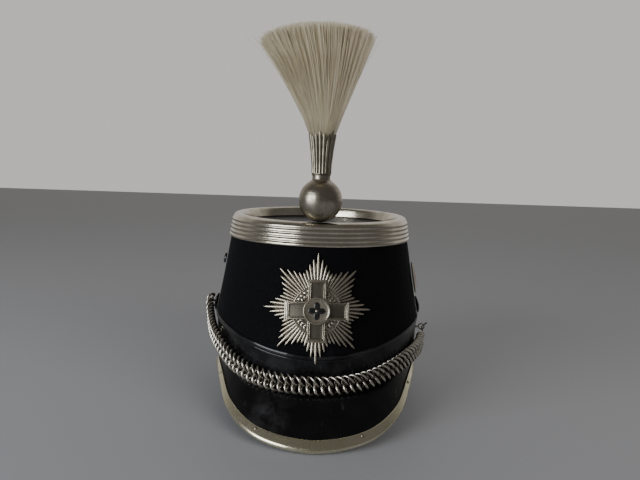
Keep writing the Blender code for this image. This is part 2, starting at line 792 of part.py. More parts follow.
def link_solid(place):
    """One twisted link: an oval ring of wire whose ends are turned to lie against its neighbours."""
    centres = []
    for step in range(LINK_SIDES):
        angle = 2 * math.pi * (step + 0.5) / LINK_SIDES
        along = LINK_HALF_LENGTH * math.cos(angle)
        height = LINK_HALF_HEIGHT * math.sin(angle)
        turn = LINK_TWIST * math.cos(angle)
        centres.append(Vector((along, height * math.cos(turn), height * math.sin(turn))))
    rings = []
    for index, centre in enumerate(centres):
        direction = (centres[(index + 1) % LINK_SIDES] - centres[index - 1]).normalized()
        outward = centre - direction * centre.dot(direction)
        outward.normalize()
        sideways = direction.cross(outward)
        ring = []
        for side in range(WIRE_SIDES):
            angle = 2 * math.pi * side / WIRE_SIDES + WIRE_TURN
            offset = outward * math.cos(angle) + sideways * math.sin(angle)
            ring.append(place @ (centre + offset * LINK_WIRE_RADIUS))
        rings.append(ring)
    return ring_solid(rings)


def link_frame(points, index):
    """The link's place: x along the chain, y up the hat's side and z away from it."""
    before = points[max(index - 1, 0)]
    after = points[min(index + 1, len(points) - 1)]
    along = (after - before).normalized()
    centre = points[index]
    angle = math.atan2(centre.x / RIM_HALF_WIDTH, (OVAL_CENTRE_Y - centre.y) / RIM_HALF_LENGTH)
    outward = oval_normal(RIM_HALF_WIDTH, RIM_HALF_LENGTH, angle)
    outward = (outward - along * outward.dot(along)).normalized()
    upward = outward.cross(along)
    turn = Matrix((along, upward, outward)).transposed()
    return Matrix.Translation(centre) @ turn.to_4x4()


def join_solids(solids):
    """Several closed solids in one mesh."""
    whole = bmesh.new()
    for solid in solids:
        bmesh.ops.recalc_face_normals(solid, faces=solid.faces[:])
        mesh = bpy.data.meshes.new("piece")
        solid.to_mesh(mesh)
        solid.free()
        whole.from_mesh(mesh)
        bpy.data.meshes.remove(mesh)
    return whole


def chin_chain():
    """The chain of interlocking links, hung between the side bosses and fused where links touch."""
    points = chain_points()
    frames = [link_frame(points, index) for index in range(len(points))]
    even = [link_solid(frame) for frame in frames[0::2]]
    odd = [link_solid(frame) for frame in frames[1::2]]
    chain = make_object("chin_chain", join_solids(even), OLD_SILVER)
    add_boolean(chain, make_cutter("odd_links", join_solids(odd)), "UNION")
    return chain


def wire_object(name, points, radius, look):
    """A bent piece of round wire with closed ends."""
    curve = bpy.data.curves.new(name, "CURVE")
    curve.dimensions = "3D"
    curve.bevel_depth = radius
    curve.bevel_resolution = 1
    curve.use_fill_caps = True
    spline = curve.splines.new("POLY")
    spline.points.add(len(points) - 1)
    for spot, point in zip(spline.points, points):
        spot.co = (*point, 1.0)
    obj = bpy.data.objects.new(name, curve)
    obj.data.materials.append(make_material(name, look))
    PARTS.objects.link(obj)
    return obj


def surface_frame(place, reach, standoff):
    """A point over the hat's side and the direction square to the surface there."""
    angle = math.radians(place.angle)
    centre = side_point(angle, place.height, standoff)
    above = side_point(angle, place.height + reach / 2, standoff)
    below = side_point(angle, place.height - reach / 2, standoff)
    upward = (above - below).normalized()
    outward = oval_normal(RIM_HALF_WIDTH, RIM_HALF_LENGTH, angle)
    return centre, (outward - upward * outward.dot(upward)).normalized()


def side_disc(name, place, radius, depth, standoff, sides, look):
    """A low domed disc on the hat's side, square to the surface."""
    centre, outward = surface_frame(place, radius, standoff)
    outline = ((radius * 0.9, 0.0), (radius, depth * 0.35), (radius * 0.85, depth * 0.8), (radius * 0.4, depth))
    return make_object(name, disc_solid(centre, outward, outline, sides), look)


def left_boss():
    """The left boss, with the headed peg that the chain's end link hangs on."""
    size = (BOSS_RADIUS, BOSS_DEPTH, BOSS_STANDOFF, BOSS_SIDES)
    boss = side_disc("side_boss_left", LEFT_BOSS, *size, BLACK_LACQUER)
    centre, outward = surface_frame(LEFT_BOSS, BOSS_RADIUS, BOSS_STANDOFF)
    neck = PEG_LENGTH - PEG_HEAD_LENGTH
    outline = ((PEG_RADIUS, BOSS_DEPTH / 2), (PEG_RADIUS, neck), (PEG_HEAD_RADIUS, neck), (PEG_RADIUS, PEG_LENGTH))
    add_boolean(boss, make_cutter("peg", disc_solid(centre, outward, outline, 8)), "UNION")
    return boss


def chain_catch():
    """A thin wire catch that lies on the leather behind the chain, on the left."""
    standoff = CATCH_WIRE + 1.5 * GAP
    points = [side_point(math.radians(spot.angle), spot.height, standoff) for spot in CATCH_ROUTE]
    return wire_object("chain_catch", points, CATCH_WIRE, NICKEL)


def ring_solid_round(centre, radius, wire, sides, wire_sides):
    """A round ring of wire in an upright plane that faces the front."""
    rings = []
    for step in range(sides):
        angle = 2 * math.pi * step / sides
        spoke = Vector((math.cos(angle), 0, math.sin(angle)))
        ring = []
        for side in range(wire_sides):
            turn = 2 * math.pi * side / wire_sides
            ring.append(centre + spoke * (radius + wire * math.cos(turn)) + Vector((0, wire * math.sin(turn), 0)))
        rings.append(ring)
    return ring_solid(rings)


def chain_ring():
    """The ring on the right that the chain's hook catches, on a short post from the leather."""
    ring = make_object("chain_ring", ring_solid_round(RING_CENTRE, RING_RADIUS, RING_WIRE, 12, 5), OLD_SILVER)
    angle = math.acos((OVAL_CENTRE_Y - RING_CENTRE.y) / BELLY_HALF_LENGTH)
    foot = side_point(angle, RING_CENTRE.z, GAP)
    head = RING_CENTRE - Vector((RING_RADIUS, 0, 0))
    outward = head - foot
    outline = ((RING_WIRE * 2, 0.0), (RING_WIRE * 1.6, outward.length))
    add_boolean(ring, make_cutter("ring_post", disc_solid(foot, outward.normalized(), outline, 8)), "UNION")
    return ring


def chain_hook():
    """The bent wire hook between the chain's last link and the ring, its tip turned out."""
    points = chain_points()
    last = link_frame(points, len(points) - 1)
    route = [
        last @ Vector((0.0010, 0.0, -0.0018)),
        last @ Vector((0.0010, 0.0, 0.0006)),
        last @ Vector((0.0024, 0.0, 0.0024)),
        last @ Vector((0.0046, 0.0008, 0.0026)),
        RING_CENTRE + Vector((0.0004, -0.0052, -0.0034)),
        RING_CENTRE + Vector((0.0002, -0.0026, -0.0006)),
        RING_CENTRE + Vector((0.0002, 0.0000, 0.0000)),
        RING_CENTRE + Vector((0.0008, 0.0022, -0.0004)),
        RING_CENTRE + Vector((0.0026, 0.0034, 0.0004)),
        RING_CENTRE + Vector((0.0053, 0.0034, 0.0026)),
    ]
    return wire_object("chain_hook", route, HOOK_WIRE, BLACK_LACQUER)


def fittings():
    """The boss on the right, a vent on the left and a cockade on the right."""
    boss_size = (BOSS_RADIUS, BOSS_DEPTH, BOSS_STANDOFF, BOSS_SIDES)
    side_disc("side_boss_right", RIGHT_BOSS, *boss_size, BLACK_LACQUER)
    side_disc("side_vent", VENT, VENT_RADIUS, VENT_DEPTH, DISC_STANDOFF, BOSS_SIDES, BLACK_LACQUER)
    side_disc("cockade", COCKADE, COCKADE_RADIUS, COCKADE_DEPTH, DISC_STANDOFF, COCKADE_SIDES, RED_CLOTH)


clear_scene()
PARTS = make_collection("shako_hat")
HELPERS = make_collection("helpers")
crown_body()
crown_top()
base_band()
top_band()
peak()
peak_binding()
rivets()
badge_star()
badge_cross()
badge_roundel()
badge_flower()
plume_ball()
plume_socket()
plume()
chin_chain()
left_boss()
chain_catch()
chain_ring()
chain_hook()
fittings()
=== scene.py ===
# %% [markdown]
# # A parade shako in Blender
# The hat is a stiff felt crown on a leather base, with a peak, a ribbed metal band, a star badge, a chain
# and a plume. The solids of all pieces are loaded first, as a frame that never moves. Every piece that
# shows is then modelled again in fine detail where its solid stands, or keeps its solid and gets a finish.

# %% Load the frame
import math
from collections import namedtuple

import bpy
import numpy as np
from mathutils import Matrix, Vector


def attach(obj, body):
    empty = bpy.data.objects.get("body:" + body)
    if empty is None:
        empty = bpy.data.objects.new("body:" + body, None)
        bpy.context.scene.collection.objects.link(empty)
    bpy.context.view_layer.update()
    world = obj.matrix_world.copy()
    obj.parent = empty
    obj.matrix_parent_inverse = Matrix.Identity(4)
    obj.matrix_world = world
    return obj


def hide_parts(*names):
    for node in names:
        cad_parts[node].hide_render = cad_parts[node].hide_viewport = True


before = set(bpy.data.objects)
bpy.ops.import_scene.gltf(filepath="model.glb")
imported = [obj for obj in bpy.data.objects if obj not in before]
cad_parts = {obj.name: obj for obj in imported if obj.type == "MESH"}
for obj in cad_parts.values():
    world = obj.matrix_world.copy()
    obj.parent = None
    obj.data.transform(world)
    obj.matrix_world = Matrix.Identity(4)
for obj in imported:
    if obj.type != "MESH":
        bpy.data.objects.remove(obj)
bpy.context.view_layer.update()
UP = Vector((0, 0, 1))
print("solid pieces:", len(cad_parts))

# %% [markdown]
# ## Camera and floor
# The camera looks slightly down on the hat from in front of it, and the picture is turned by two degrees. A
# long lens from far away would flatten the hat, so it stands close, at about half a metre. Its matrix is put
# together from a pitch and a roll, because each of them can then be read and changed on its own.

# %% Camera
CAMERA_PLACE = Vector((0.0006, -0.4705, 0.1812))
CAMERA_PITCH = math.radians(6.37)
CAMERA_ROLL = math.radians(1.87)
IMAGE_WIDTH = 640
FOCAL_PIXELS = 559.63
SENSOR_WIDTH = 36.0
camera_data = bpy.data.cameras.new("camera")
camera_data.sensor_width = SENSOR_WIDTH
camera_data.lens = FOCAL_PIXELS / IMAGE_WIDTH * SENSOR_WIDTH
camera = bpy.data.objects.new("camera", camera_data)
bpy.context.scene.collection.objects.link(camera)
tilt = Matrix.Rotation(math.radians(90) - CAMERA_PITCH, 4, "X")
roll = Matrix.Rotation(CAMERA_ROLL, 4, "Z")
camera.matrix_world = Matrix.Translation(CAMERA_PLACE) @ tilt @ roll
bpy.context.scene.camera = camera
print("lens:", round(camera_data.lens, 2), "mm")


# %% [markdown]
# An operator works on what is selected and active, as a click in the window would. The helpers below keep
# that in order: each one names what it selects, so that no later step moves a piece by accident.

# %% Ways to select and keep pieces
def clear_selection():
    """An operator acts on all that is selected, so a new piece starts with nothing selected."""
    bpy.ops.object.select_all(action="DESELECT")


def take(name):
    """The object that the last operator made, named, with its place and turn put into its mesh."""
    bpy.ops.object.transform_apply(location=True, rotation=True, scale=True)
    piece = bpy.context.active_object
    piece.name = name
    piece.data.name = name
    return piece


def only(piece):
    clear_selection()
    piece.select_set(True)
    bpy.context.view_layer.objects.active = piece


def edit_all(piece):
    """Edit mode for one piece, with all of it selected."""
    only(piece)
    bpy.ops.object.mode_set(mode="EDIT")
    bpy.ops.mesh.select_all(action="SELECT")


# %% Ways to clean, join and copy pieces
def clean(piece, distance=1e-6):
    """Doubles and stray edges go first, and then all faces are turned outwards."""
    edit_all(piece)
    bpy.ops.mesh.remove_doubles(threshold=distance)
    bpy.ops.mesh.dissolve_degenerate(threshold=distance)
    bpy.ops.mesh.delete_loose()
    bpy.ops.mesh.select_all(action="SELECT")
    bpy.ops.mesh.normals_make_consistent(inside=False)
    bpy.ops.object.mode_set(mode="OBJECT")


def smooth(piece, degrees):
    """Shades smooth over every edge that turns by less than an angle."""
    only(piece)
    bpy.ops.object.shade_smooth_by_angle(angle=math.radians(degrees))


def join(name, pieces):
    clear_selection()
    for piece in pieces:
        piece.select_set(True)
    bpy.context.view_layer.objects.active = pieces[0]
    bpy.ops.object.join()
    return take(name)


def copy_of(piece, place):
    """A copy with a mesh of its own, moved by a matrix."""
    twin = piece.copy()
    twin.data = piece.data.copy()
    bpy.context.scene.collection.objects.link(twin)
    twin.data.transform(place)
    return twin


def standing(foot, direction):
    """A matrix that carries a piece to its foot and turns its z to a direction."""
    return Matrix.Translation(foot) @ direction.to_track_quat("Z", "Y").to_matrix().to_4x4()


# %% Floor
clear_selection()
FLOOR_SIZE = 6.0
FLOOR_CENTRE = (0, 1.5, 0)
bpy.ops.mesh.primitive_plane_add(size=FLOOR_SIZE, location=FLOOR_CENTRE)
floor = bpy.context.active_object
floor.name = "floor"
print("floor:", FLOOR_SIZE, "m square")


# %% [markdown]
# ## Finishes
# A finish is a small tree of nodes that ends in one shader. The class below only saves typing: each method
# adds a node and gives back its output. Every pattern reads Object coordinates, in metres, so it stays in
# place on the piece whichever way the camera looks.

# %% A finish and its nodes
class Finish:
    """One material, with short ways to add the nodes that all the finishes here are made of."""

    def __init__(self, name, metallic=0.0):
        self.material = bpy.data.materials.new(name)
        self.material.use_nodes = True
        self.tree = self.material.node_tree
        self.shader = self.tree.nodes["Principled BSDF"]
        self.shader.inputs["Metallic"].default_value = metallic
        self.place = self.node("ShaderNodeTexCoord").outputs["Object"]

    def node(self, kind, **settings):
        made = self.tree.nodes.new(kind)
        for setting, value in settings.items():
            setattr(made, setting, value)
        return made

    def feed(self, target, source):
        """A socket takes either a link or a plain value."""
        if isinstance(source, bpy.types.NodeSocket):
            self.tree.links.new(source, target)
        elif isinstance(source, tuple) and len(source) == 3 and len(target.default_value) == 4:
            target.default_value = (*source, 1.0)
        else:
            target.default_value = source

    def stretched(self, scale, turn=(0, 0, 0)):
        mapping = self.node("ShaderNodeMapping")
        self.feed(mapping.inputs["Vector"], self.place)
        mapping.inputs["Scale"].default_value = scale
        mapping.inputs["Rotation"].default_value = turn
        return mapping.outputs["Vector"]

    def noise(self, scale, detail=4.0, roughness=0.55, place=None, distortion=0.0):
        made = self.node("ShaderNodeTexNoise")
        self.feed(made.inputs["Vector"], place or self.place)
        sockets = ("Scale", "Detail", "Roughness", "Distortion")
        for socket, value in zip(sockets, (scale, detail, roughness, distortion)):
            made.inputs[socket].default_value = value
        return made.outputs["Fac"]

    def cells(self, scale):
        made = self.node("ShaderNodeTexVoronoi", feature="F1")
        self.feed(made.inputs["Vector"], self.place)
        made.inputs["Scale"].default_value = scale
        return made.outputs["Distance"]

    def span(self, source, low, high, to_low=0.0, to_high=1.0):
        """A value's range from low to high, moved to another range and cut off at its ends."""
        made = self.node("ShaderNodeMapRange")
        sockets = ("Value", "From Min", "From Max", "To Min", "To Max")
        for socket, value in zip(sockets, (source, low, high, to_low, to_high)):
            self.feed(made.inputs[socket], value)
        return made.outputs["Result"]

    def maths(self, operation, first, second):
        made = self.node("ShaderNodeMath", operation=operation)
        self.feed(made.inputs[0], first)
        self.feed(made.inputs[1], second)
        return made.outputs[0]

    def blend(self, share, low, high):
        made = self.node("ShaderNodeMix", data_type="RGBA", blend_type="MIX")
        self.feed(made.inputs["Factor"], share)
        self.feed(made.inputs[6], low)
        self.feed(made.inputs[7], high)
        return made.outputs[2]

    def hollows(self, distance):
        """Near 0 in deep corners and 1 on open faces."""
        made = self.node("ShaderNodeAmbientOcclusion", samples=4)
        made.inputs["Distance"].default_value = distance
        return made.outputs["AO"]

    def attribute(self, name):
        return self.node("ShaderNodeAttribute", attribute_name=name).outputs["Fac"]

    def bump(self, height, distance, strength, under=None):
        made = self.node("ShaderNodeBump")
        self.feed(made.inputs["Height"], height)
        made.inputs["Distance"].default_value = distance
        made.inputs["Strength"].default_value = strength
        if under is not None:
            self.feed(made.inputs["Normal"], under)
        return made.outputs["Normal"]

    def wear(self, **sockets):
        """Sets the shader's own sockets, named with _ for a space."""
        for name, value in sockets.items():
            self.feed(self.shader.inputs[name.replace("_", " ")], value)
        return self.material


# %% [markdown]
# Every finished piece goes through the same last steps: its shading, its material, the body that it rides
# on, and the solids that it stands for. One function does them all, so that none is forgotten.

# %% Dress a piece
def dress(piece, finish, slot, *nodes):
    """Gives a finished piece its material, lets it ride with the hat and stand for its solids.

    With no finish the piece keeps the materials that its faces already have.
    """
    if finish is not None:
        piece.data.materials.clear()
        piece.data.materials.append(finish)
    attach(piece, "root")
    if nodes:
        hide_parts(*nodes)
    diagonal = Vector(piece.bound_box[6]) - Vector(piece.bound_box[0])
    size = [round(value * 1000, 1) for value in diagonal]
    print(piece.name, "size in mm:", size, "faces:", len(piece.data.polygons))


def complete(piece, degrees, finish, slot, *nodes):
    """Shades a piece smooth up to an angle and dresses it."""
    smooth(piece, degrees)
    dress(piece, finish, slot, *nodes)


# %% [markdown]
# Felt is matt and swallows light. Its short fibres give a fine grain, a weak sheen at grazing angles and a
# few pale streaks where it has been brushed. A grain in the bump alone would look like plastic, so the
# colour follows the same fibres, and the roughness follows their tufts.

# %% Felt
def felt_finish():
    felt = Finish("felt")
    fibres = felt.noise(2600, detail=3, place=felt.stretched((1.0, 1.0, 0.35)))
    tufts = felt.noise(420, detail=4, roughness=0.7)
    streaks = felt.span(felt.noise(160, place=felt.stretched((1.0, 1.0, 0.04))), 0.60, 0.80)
    patches = felt.span(felt.noise(28, detail=3), 0.45, 0.75)
    colour = felt.blend(fibres, (0.0016, 0.0016, 0.0021), (0.0042, 0.0042, 0.0052))
    worn = felt.blend(felt.maths("MULTIPLY", streaks, patches), colour, (0.014, 0.014, 0.016))
    grain = felt.maths("ADD", fibres, tufts)
    felt.shader.inputs["Sheen Weight"].default_value = 0.022
    felt.shader.inputs["Sheen Roughness"].default_value = 0.45
    felt.shader.inputs["Sheen Tint"].default_value = (0.55, 0.58, 0.66, 1.0)
    felt.shader.inputs["Specular IOR Level"].default_value = 0.08
    return felt.wear(
        Base_Color=worn,
        Roughness=felt.span(tufts, 0.3, 0.7, 0.72, 0.92),
        Normal=felt.bump(grain, 0.00012, 0.6),
    )


FELT = felt_finish()
print("finish:", FELT.name)

# %% [markdown]
# The leather is blackened and varnished, so it has a clear coat over a fine grain. Old leather is scuffed
# and dusty: thin stretched noise makes the scratches, clouds make the dust, and one patch of the peak has
# more of it. The welt is rubbed to a higher gloss, and the crown's top has no coat at all.

# %% Leather
PEAK_HAZE = (-0.032, -0.099, 0.018)
PEAK_HAZE_SPAN = (0.005, 0.020)
PEAK_HAZE_DUST = (2.0, 0.12)


def leather_finish(name, haze_centre=None, coat=0.20, coat_roughness=0.12, specular=0.18, dusty=0.5):
    leather = Finish(name)
    pores = leather.cells(1500)
    grain = leather.noise(700, detail=5, roughness=0.6)
    dents = leather.noise(45, detail=2)
    lines = leather.noise(260, detail=2, place=leather.stretched((1.0, 0.16, 0.30), (0.2, 0.3, 0.5)))
    scratches = leather.span(lines, 0.66, 0.72)
    clouds = leather.span(leather.noise(60, detail=5, roughness=0.7), 0.42, 0.72)
    dust = clouds
    if haze_centre is not None:
        offset = leather.node("ShaderNodeVectorMath", operation="DISTANCE")
        leather.feed(offset.inputs[0], leather.place)
        leather.feed(offset.inputs[1], haze_centre)
        nearness = leather.span(offset.outputs["Value"], *PEAK_HAZE_SPAN, *PEAK_HAZE_DUST)
        dust = leather.maths("MULTIPLY", clouds, nearness)
    dust = leather.maths("MULTIPLY", dust, dusty)
    marks = leather.maths("MAXIMUM", leather.maths("MULTIPLY", scratches, 0.5), dust)
    colour = leather.blend(marks, (0.0018, 0.0018, 0.0023), (0.030, 0.030, 0.032))
    leather.shader.inputs["Coat Weight"].default_value = coat
    leather.shader.inputs["Coat Roughness"].default_value = coat_roughness
    leather.shader.inputs["Specular IOR Level"].default_value = specular
    relief = leather.bump(dents, 0.0010, 0.35)
    relief = leather.bump(leather.maths("ADD", grain, pores), 0.00006, 0.5, relief)
    relief = leather.bump(leather.maths("MULTIPLY", scratches, -1.0), 0.00008, 0.6, relief)
    return leather.wear(
        Base_Color=colour,
        Roughness=leather.span(clouds, 0.0, 1.0, 0.28, 0.46),
        Normal=relief,
    )


LEATHER = leather_finish("leather")
PEAK_LEATHER = leather_finish("peak_leather", PEAK_HAZE)
WELT_LEATHER = leather_finish("welt_leather", coat=0.55, coat_roughness=0.07)
DULL_LEATHER = leather_finish("dull_leather", coat=0.0, specular=0.05, dusty=0.30)
print("finishes: four leathers")

# %% [markdown]
# All the metal is nickel silver, which is warmer than chrome. What differs from piece to piece is how much
# it has tarnished, how yellow it has gone and how much dark polish and painted shade lie in its hollows,
# so one function makes every metal finish from two colours and a few numbers.

# %% Metal
SOOT_AND_SHADE = (0.030, 0.025, 0.018)
TARNISH_ROUGHNESS = 0.13
SCRATCH_ROUGHNESS = 0.07
SOOT_ROUGHNESS = 0.25


def metal_finish(
    name,
    bright,
    tarnish,
    roughness,
    blotch=60,
    hollow=0.0012,
    dent=0.00018,
    brushed=(1.0, 1.0, 0.35),
    speck=0.7,
):
    """Bright metal with tarnish in clouds and specks, and soot with painted shade in hollows of a given size.
    """
    metal = Finish(name, metallic=1.0)
    clouds = metal.span(metal.noise(blotch, detail=6, roughness=0.65, distortion=0.4), 0.38, 0.68)
    specks = metal.span(metal.noise(blotch * 9, detail=3), 0.60, 0.74)
    spots = metal.maths("MAXIMUM", clouds, metal.maths("MULTIPLY", specks, speck))
    surface = metal.blend(spots, bright, tarnish)
    # Colour goes toward soot where the hollows close in: partly dark polish left there, partly painted shade
    # in creases and behind parts.
    closed = metal.span(metal.hollows(hollow), 0.35, 0.92, 0.85, 0.0)
    colour = metal.blend(closed, surface, SOOT_AND_SHADE)
    scratches = metal.noise(900, detail=2, place=metal.stretched(brushed))
    fine = metal.noise(2400, detail=2)
    rough = metal.span(spots, 0.0, 1.0, roughness, roughness + TARNISH_ROUGHNESS)
    rough = metal.maths("ADD", rough, metal.span(scratches, 0.4, 0.7, 0.0, SCRATCH_ROUGHNESS))
    rough = metal.maths("ADD", rough, metal.maths("MULTIPLY", closed, SOOT_ROUGHNESS))
    relief = metal.bump(metal.noise(140, detail=2), dent, 0.25)
    relief = metal.bump(metal.maths("ADD", scratches, fine), 0.000008, 0.5, relief)
    return metal.wear(Base_Color=colour, Roughness=rough, Normal=relief)


BAND_METAL = metal_finish(
    "band_metal", (0.66, 0.605, 0.505), (0.45, 0.405, 0.32), 0.12, dent=0.00010, brushed=(0.1, 0.1, 2.0)
)
BADGE_METAL = metal_finish("badge_metal", (0.68, 0.62, 0.51), (0.42, 0.37, 0.285), 0.22, blotch=110)
PANEL_METAL = metal_finish("panel_metal", (0.205, 0.187, 0.152), (0.14, 0.125, 0.097), 0.36, blotch=130)
OLD_SILVER = metal_finish(
    "old_silver", (0.40, 0.365, 0.295), (0.25, 0.222, 0.172), 0.24, blotch=90, hollow=0.0022, dent=0.00024
)
SOCKET_METAL = metal_finish(
    "socket_metal", (0.36, 0.325, 0.25), (0.22, 0.195, 0.145), 0.24, blotch=120, hollow=0.0030
)
# Its wide hollows paint shade on the back arcs of the links, over some dark polish.
CHAIN_METAL = metal_finish(
    "chain_metal", (0.80, 0.76, 0.67), (0.54, 0.50, 0.41), 0.17, blotch=160, hollow=0.0045
)
BINDING_METAL = metal_finish(
    "binding_metal",
    (0.84, 0.79, 0.60),
    (0.66, 0.62, 0.43),
    0.15,
    blotch=30,
    hollow=0.0004,
    dent=0.00003,
    speck=0.12,
)
print("finishes: seven metals")


# %% [markdown]
# The bosses, the vent, the hook and the flower are lacquered black, and the lacquer has small chips. Ribbon
# is woven, so its threads are noise that is stretched along one axis. The floor is plain, with a fine speckle
# that keeps it from looking like a sheet of paper.

# %% Lacquer, ribbon and floor
def lacquer_finish():
    lacquer = Finish("lacquer")
    chips = lacquer.span(lacquer.noise(900, detail=3), 0.60, 0.70)
    lacquer.shader.inputs["Coat Weight"].default_value = 0.4
    lacquer.shader.inputs["Coat Roughness"].default_value = 0.2
    return lacquer.wear(
        Base_Color=lacquer.blend(chips, (0.005, 0.005, 0.005), (0.030, 0.028, 0.024)),
        Roughness=lacquer.span(chips, 0, 1, 0.25, 0.5),
        Normal=lacquer.bump(lacquer.noise(500), 0.00006, 0.4),
    )


def ribbon_finish(name, low, high):
    ribbon = Finish(name)
    threads = ribbon.noise(2800, detail=2, place=ribbon.stretched((1.0, 1.0, 0.3)))
    stains = ribbon.noise(140, detail=4)
    ribbon.shader.inputs["Sheen Weight"].default_value = 0.2
    return ribbon.wear(
        Base_Color=ribbon.blend(ribbon.maths("MULTIPLY", threads, stains), low, high),
        Roughness=ribbon.span(threads, 0.3, 0.7, 0.7, 0.9),
        Normal=ribbon.bump(threads, 0.00008, 0.6),
    )


def floor_finish():
    table = Finish("table")
    speckle = table.noise(900, detail=2)
    return table.wear(
        Base_Color=table.blend(speckle, (0.315, 0.320, 0.340), (0.345, 0.350, 0.372)),
        Roughness=table.span(speckle, 0, 1, 0.52, 0.62),
    )


LACQUER = lacquer_finish()
RED_RIBBON = ribbon_finish("red_ribbon", (0.16, 0.008, 0.008), (0.42, 0.03, 0.03))
PALE_RIBBON = ribbon_finish("pale_ribbon", (0.24, 0.22, 0.175), (0.48, 0.45, 0.37))
floor.data.materials.append(floor_finish())
print("finishes:", LACQUER.name, RED_RIBBON.name, PALE_RIBBON.name)

# %% [markdown]
# ## Light
# A large soft window stands to the left of the front, because polished metal shows whatever is around it.
# The room is dim in front of the hat and bright behind it, so that the edges of the metal catch light while
# its middle stays a warm grey. A weak lamp on the right lifts the cloth and the hair, and the metal doesn't
# mirror it.

# %% Room light
WINDOW_AZIMUTH = math.radians(-50)
WINDOW_DISTANCE = 1.25
WINDOW_HEIGHT = 0.40
WINDOW_AIM = Vector((0, 0, 0.14))
WINDOW_SIZE = (0.85, 0.75)
WINDOW_ENERGY = 13.5
WINDOW_COLOUR = (0.92, 0.96, 1.0)
ROOM_FRONT = 0.12
ROOM_BACK = 0.62
ROOM_SPAN = (0.05, 0.85)
ROOM_COLOUR = (1.0, 0.97, 0.93)
FILL_PLACE = Vector((0.85, -0.95, 0.55))
FILL_AIM = Vector((0, 0, 0.2))
FILL_SIZE = (1.0, 1.0)
FILL_ENERGY = 9.0


def soft_lamp(name, place, aim, size, energy, colour):
    """A flat lamp that looks from its place at a point."""
    light = bpy.data.lights.new(name, "AREA")
    light.shape = "RECTANGLE"
    light.size, light.size_y = size
    light.energy = energy
    light.color = colour
    lamp = bpy.data.objects.new(name, light)
    lamp.location = place
    lamp.rotation_euler = (aim - place).to_track_quat("-Z", "Y").to_euler()
    bpy.context.scene.collection.objects.link(lamp)
    return lamp


def make_room():
    """A dim front and a bright back, with a soft change between them."""
    world = bpy.data.worlds.new("room")
    bpy.context.scene.world = world
    world.use_nodes = True
    tree = world.node_tree
    back = tree.nodes["Background"]
    place = tree.nodes.new("ShaderNodeTexCoord")
    split = tree.nodes.new("ShaderNodeSeparateXYZ")
    ramp = tree.nodes.new("ShaderNodeMapRange")
    ramp.interpolation_type = "SMOOTHSTEP"
    sockets = ("From Min", "From Max", "To Min", "To Max")
    for socket, value in zip(sockets, (*ROOM_SPAN, ROOM_FRONT, ROOM_BACK)):
        ramp.inputs[socket].default_value = value
    tree.links.new(place.outputs["Generated"], split.inputs[0])
    tree.links.new(split.outputs["Y"], ramp.inputs["Value"])
    tree.links.new(ramp.outputs["Result"], back.inputs["Strength"])
    back.inputs["Color"].default_value = (*ROOM_COLOUR, 1.0)


make_room()
toward_window = Vector((math.sin(WINDOW_AZIMUTH), -math.cos(WINDOW_AZIMUTH), 0))
window_place = toward_window * WINDOW_DISTANCE + UP * WINDOW_HEIGHT
soft_lamp("window", window_place, WINDOW_AIM, WINDOW_SIZE, WINDOW_ENERGY, WINDOW_COLOUR)
fill = soft_lamp("fill", FILL_PLACE, FILL_AIM, FILL_SIZE, FILL_ENERGY, ROOM_COLOUR)
fill.visible_glossy = False
print("window at azimuth", round(math.degrees(WINDOW_AZIMUTH)))

# %% [markdown]
# ## The shape of the crown
# The crown is an oval at every height. Its lower edge and the leather's upper edge are not level: both
# swing through a front, a side and a back height. A few formulas give any point on its outside, and every
# piece that lies on the hat is placed with them.

# %% The crown's ovals
OVAL_CENTRE_Y = 0.0175
RIM_HALF_WIDTH, RIM_HALF_LENGTH = 0.0850, 0.1033
BELLY_HALF_WIDTH, BELLY_HALF_LENGTH = 0.0866, 0.1052
TOP_HALF_WIDTH, TOP_HALF_LENGTH = 0.0721, 0.0835
TOP_HEIGHT = 0.1503
Levels = namedtuple("Levels", "front side back")
RIM_LEVELS = Levels(front=0.0296, side=0.0288, back=-0.0020)
BELLY_LEVELS = Levels(front=0.0558, side=0.0661, back=0.0279)


def mix(low, high, share):
    return low + (high - low) * share


def wave(levels, angle):
    """A height that swings round the hat through its three levels."""
    ends = (levels.front + levels.back) / 2
    middle = (ends + levels.side) / 2
    swing = (levels.front - levels.back) / 2
    fold = (ends - levels.side) / 2
    return middle + swing * math.cos(angle) + fold * math.cos(2 * angle)


def oval_point(half_width, half_length, angle, height):
    return Vector((half_width * math.sin(angle), OVAL_CENTRE_Y - half_length * math.cos(angle), height))


def oval_normal(half_width, half_length, angle):
    return Vector((math.sin(angle) / half_width, -math.cos(angle) / half_length, 0.0)).normalized()


def rim_height(angle):
    return max(0.0, wave(RIM_LEVELS, angle))


def lower_point(angle, share, offset, lift=0.0):
    """On the leather, from the lower edge at share 0 to its upper edge at share 1."""
    half_width = mix(RIM_HALF_WIDTH, BELLY_HALF_WIDTH, share) + offset
    half_length = mix(RIM_HALF_LENGTH, BELLY_HALF_LENGTH, share) + offset
    height = mix(rim_height(angle), wave(BELLY_LEVELS, angle), share) + lift
    return oval_point(half_width, half_length, angle, height)


def upper_point(angle, height, offset):
    """On the felt above the leather."""
    belly = wave(BELLY_LEVELS, angle)
    share = (height - belly) / (TOP_HEIGHT - belly)
    half_width = mix(BELLY_HALF_WIDTH, TOP_HALF_WIDTH, share) + offset
    half_length = mix(BELLY_HALF_LENGTH, TOP_HALF_LENGTH, share) + offset
    return oval_point(half_width, half_length, angle, height)


def side_point(angle, height, offset):
    """On the hat's outside at any height, leather or felt."""
    belly = wave(BELLY_LEVELS, angle)
    if height > belly:
        return upper_point(angle, height, offset)
    rim = rim_height(angle)
    return lower_point(angle, (height - rim) / (belly - rim), offset)


print("leather at the front, mm:", round((BELLY_LEVELS.front - RIM_LEVELS.front) * 1000, 1))

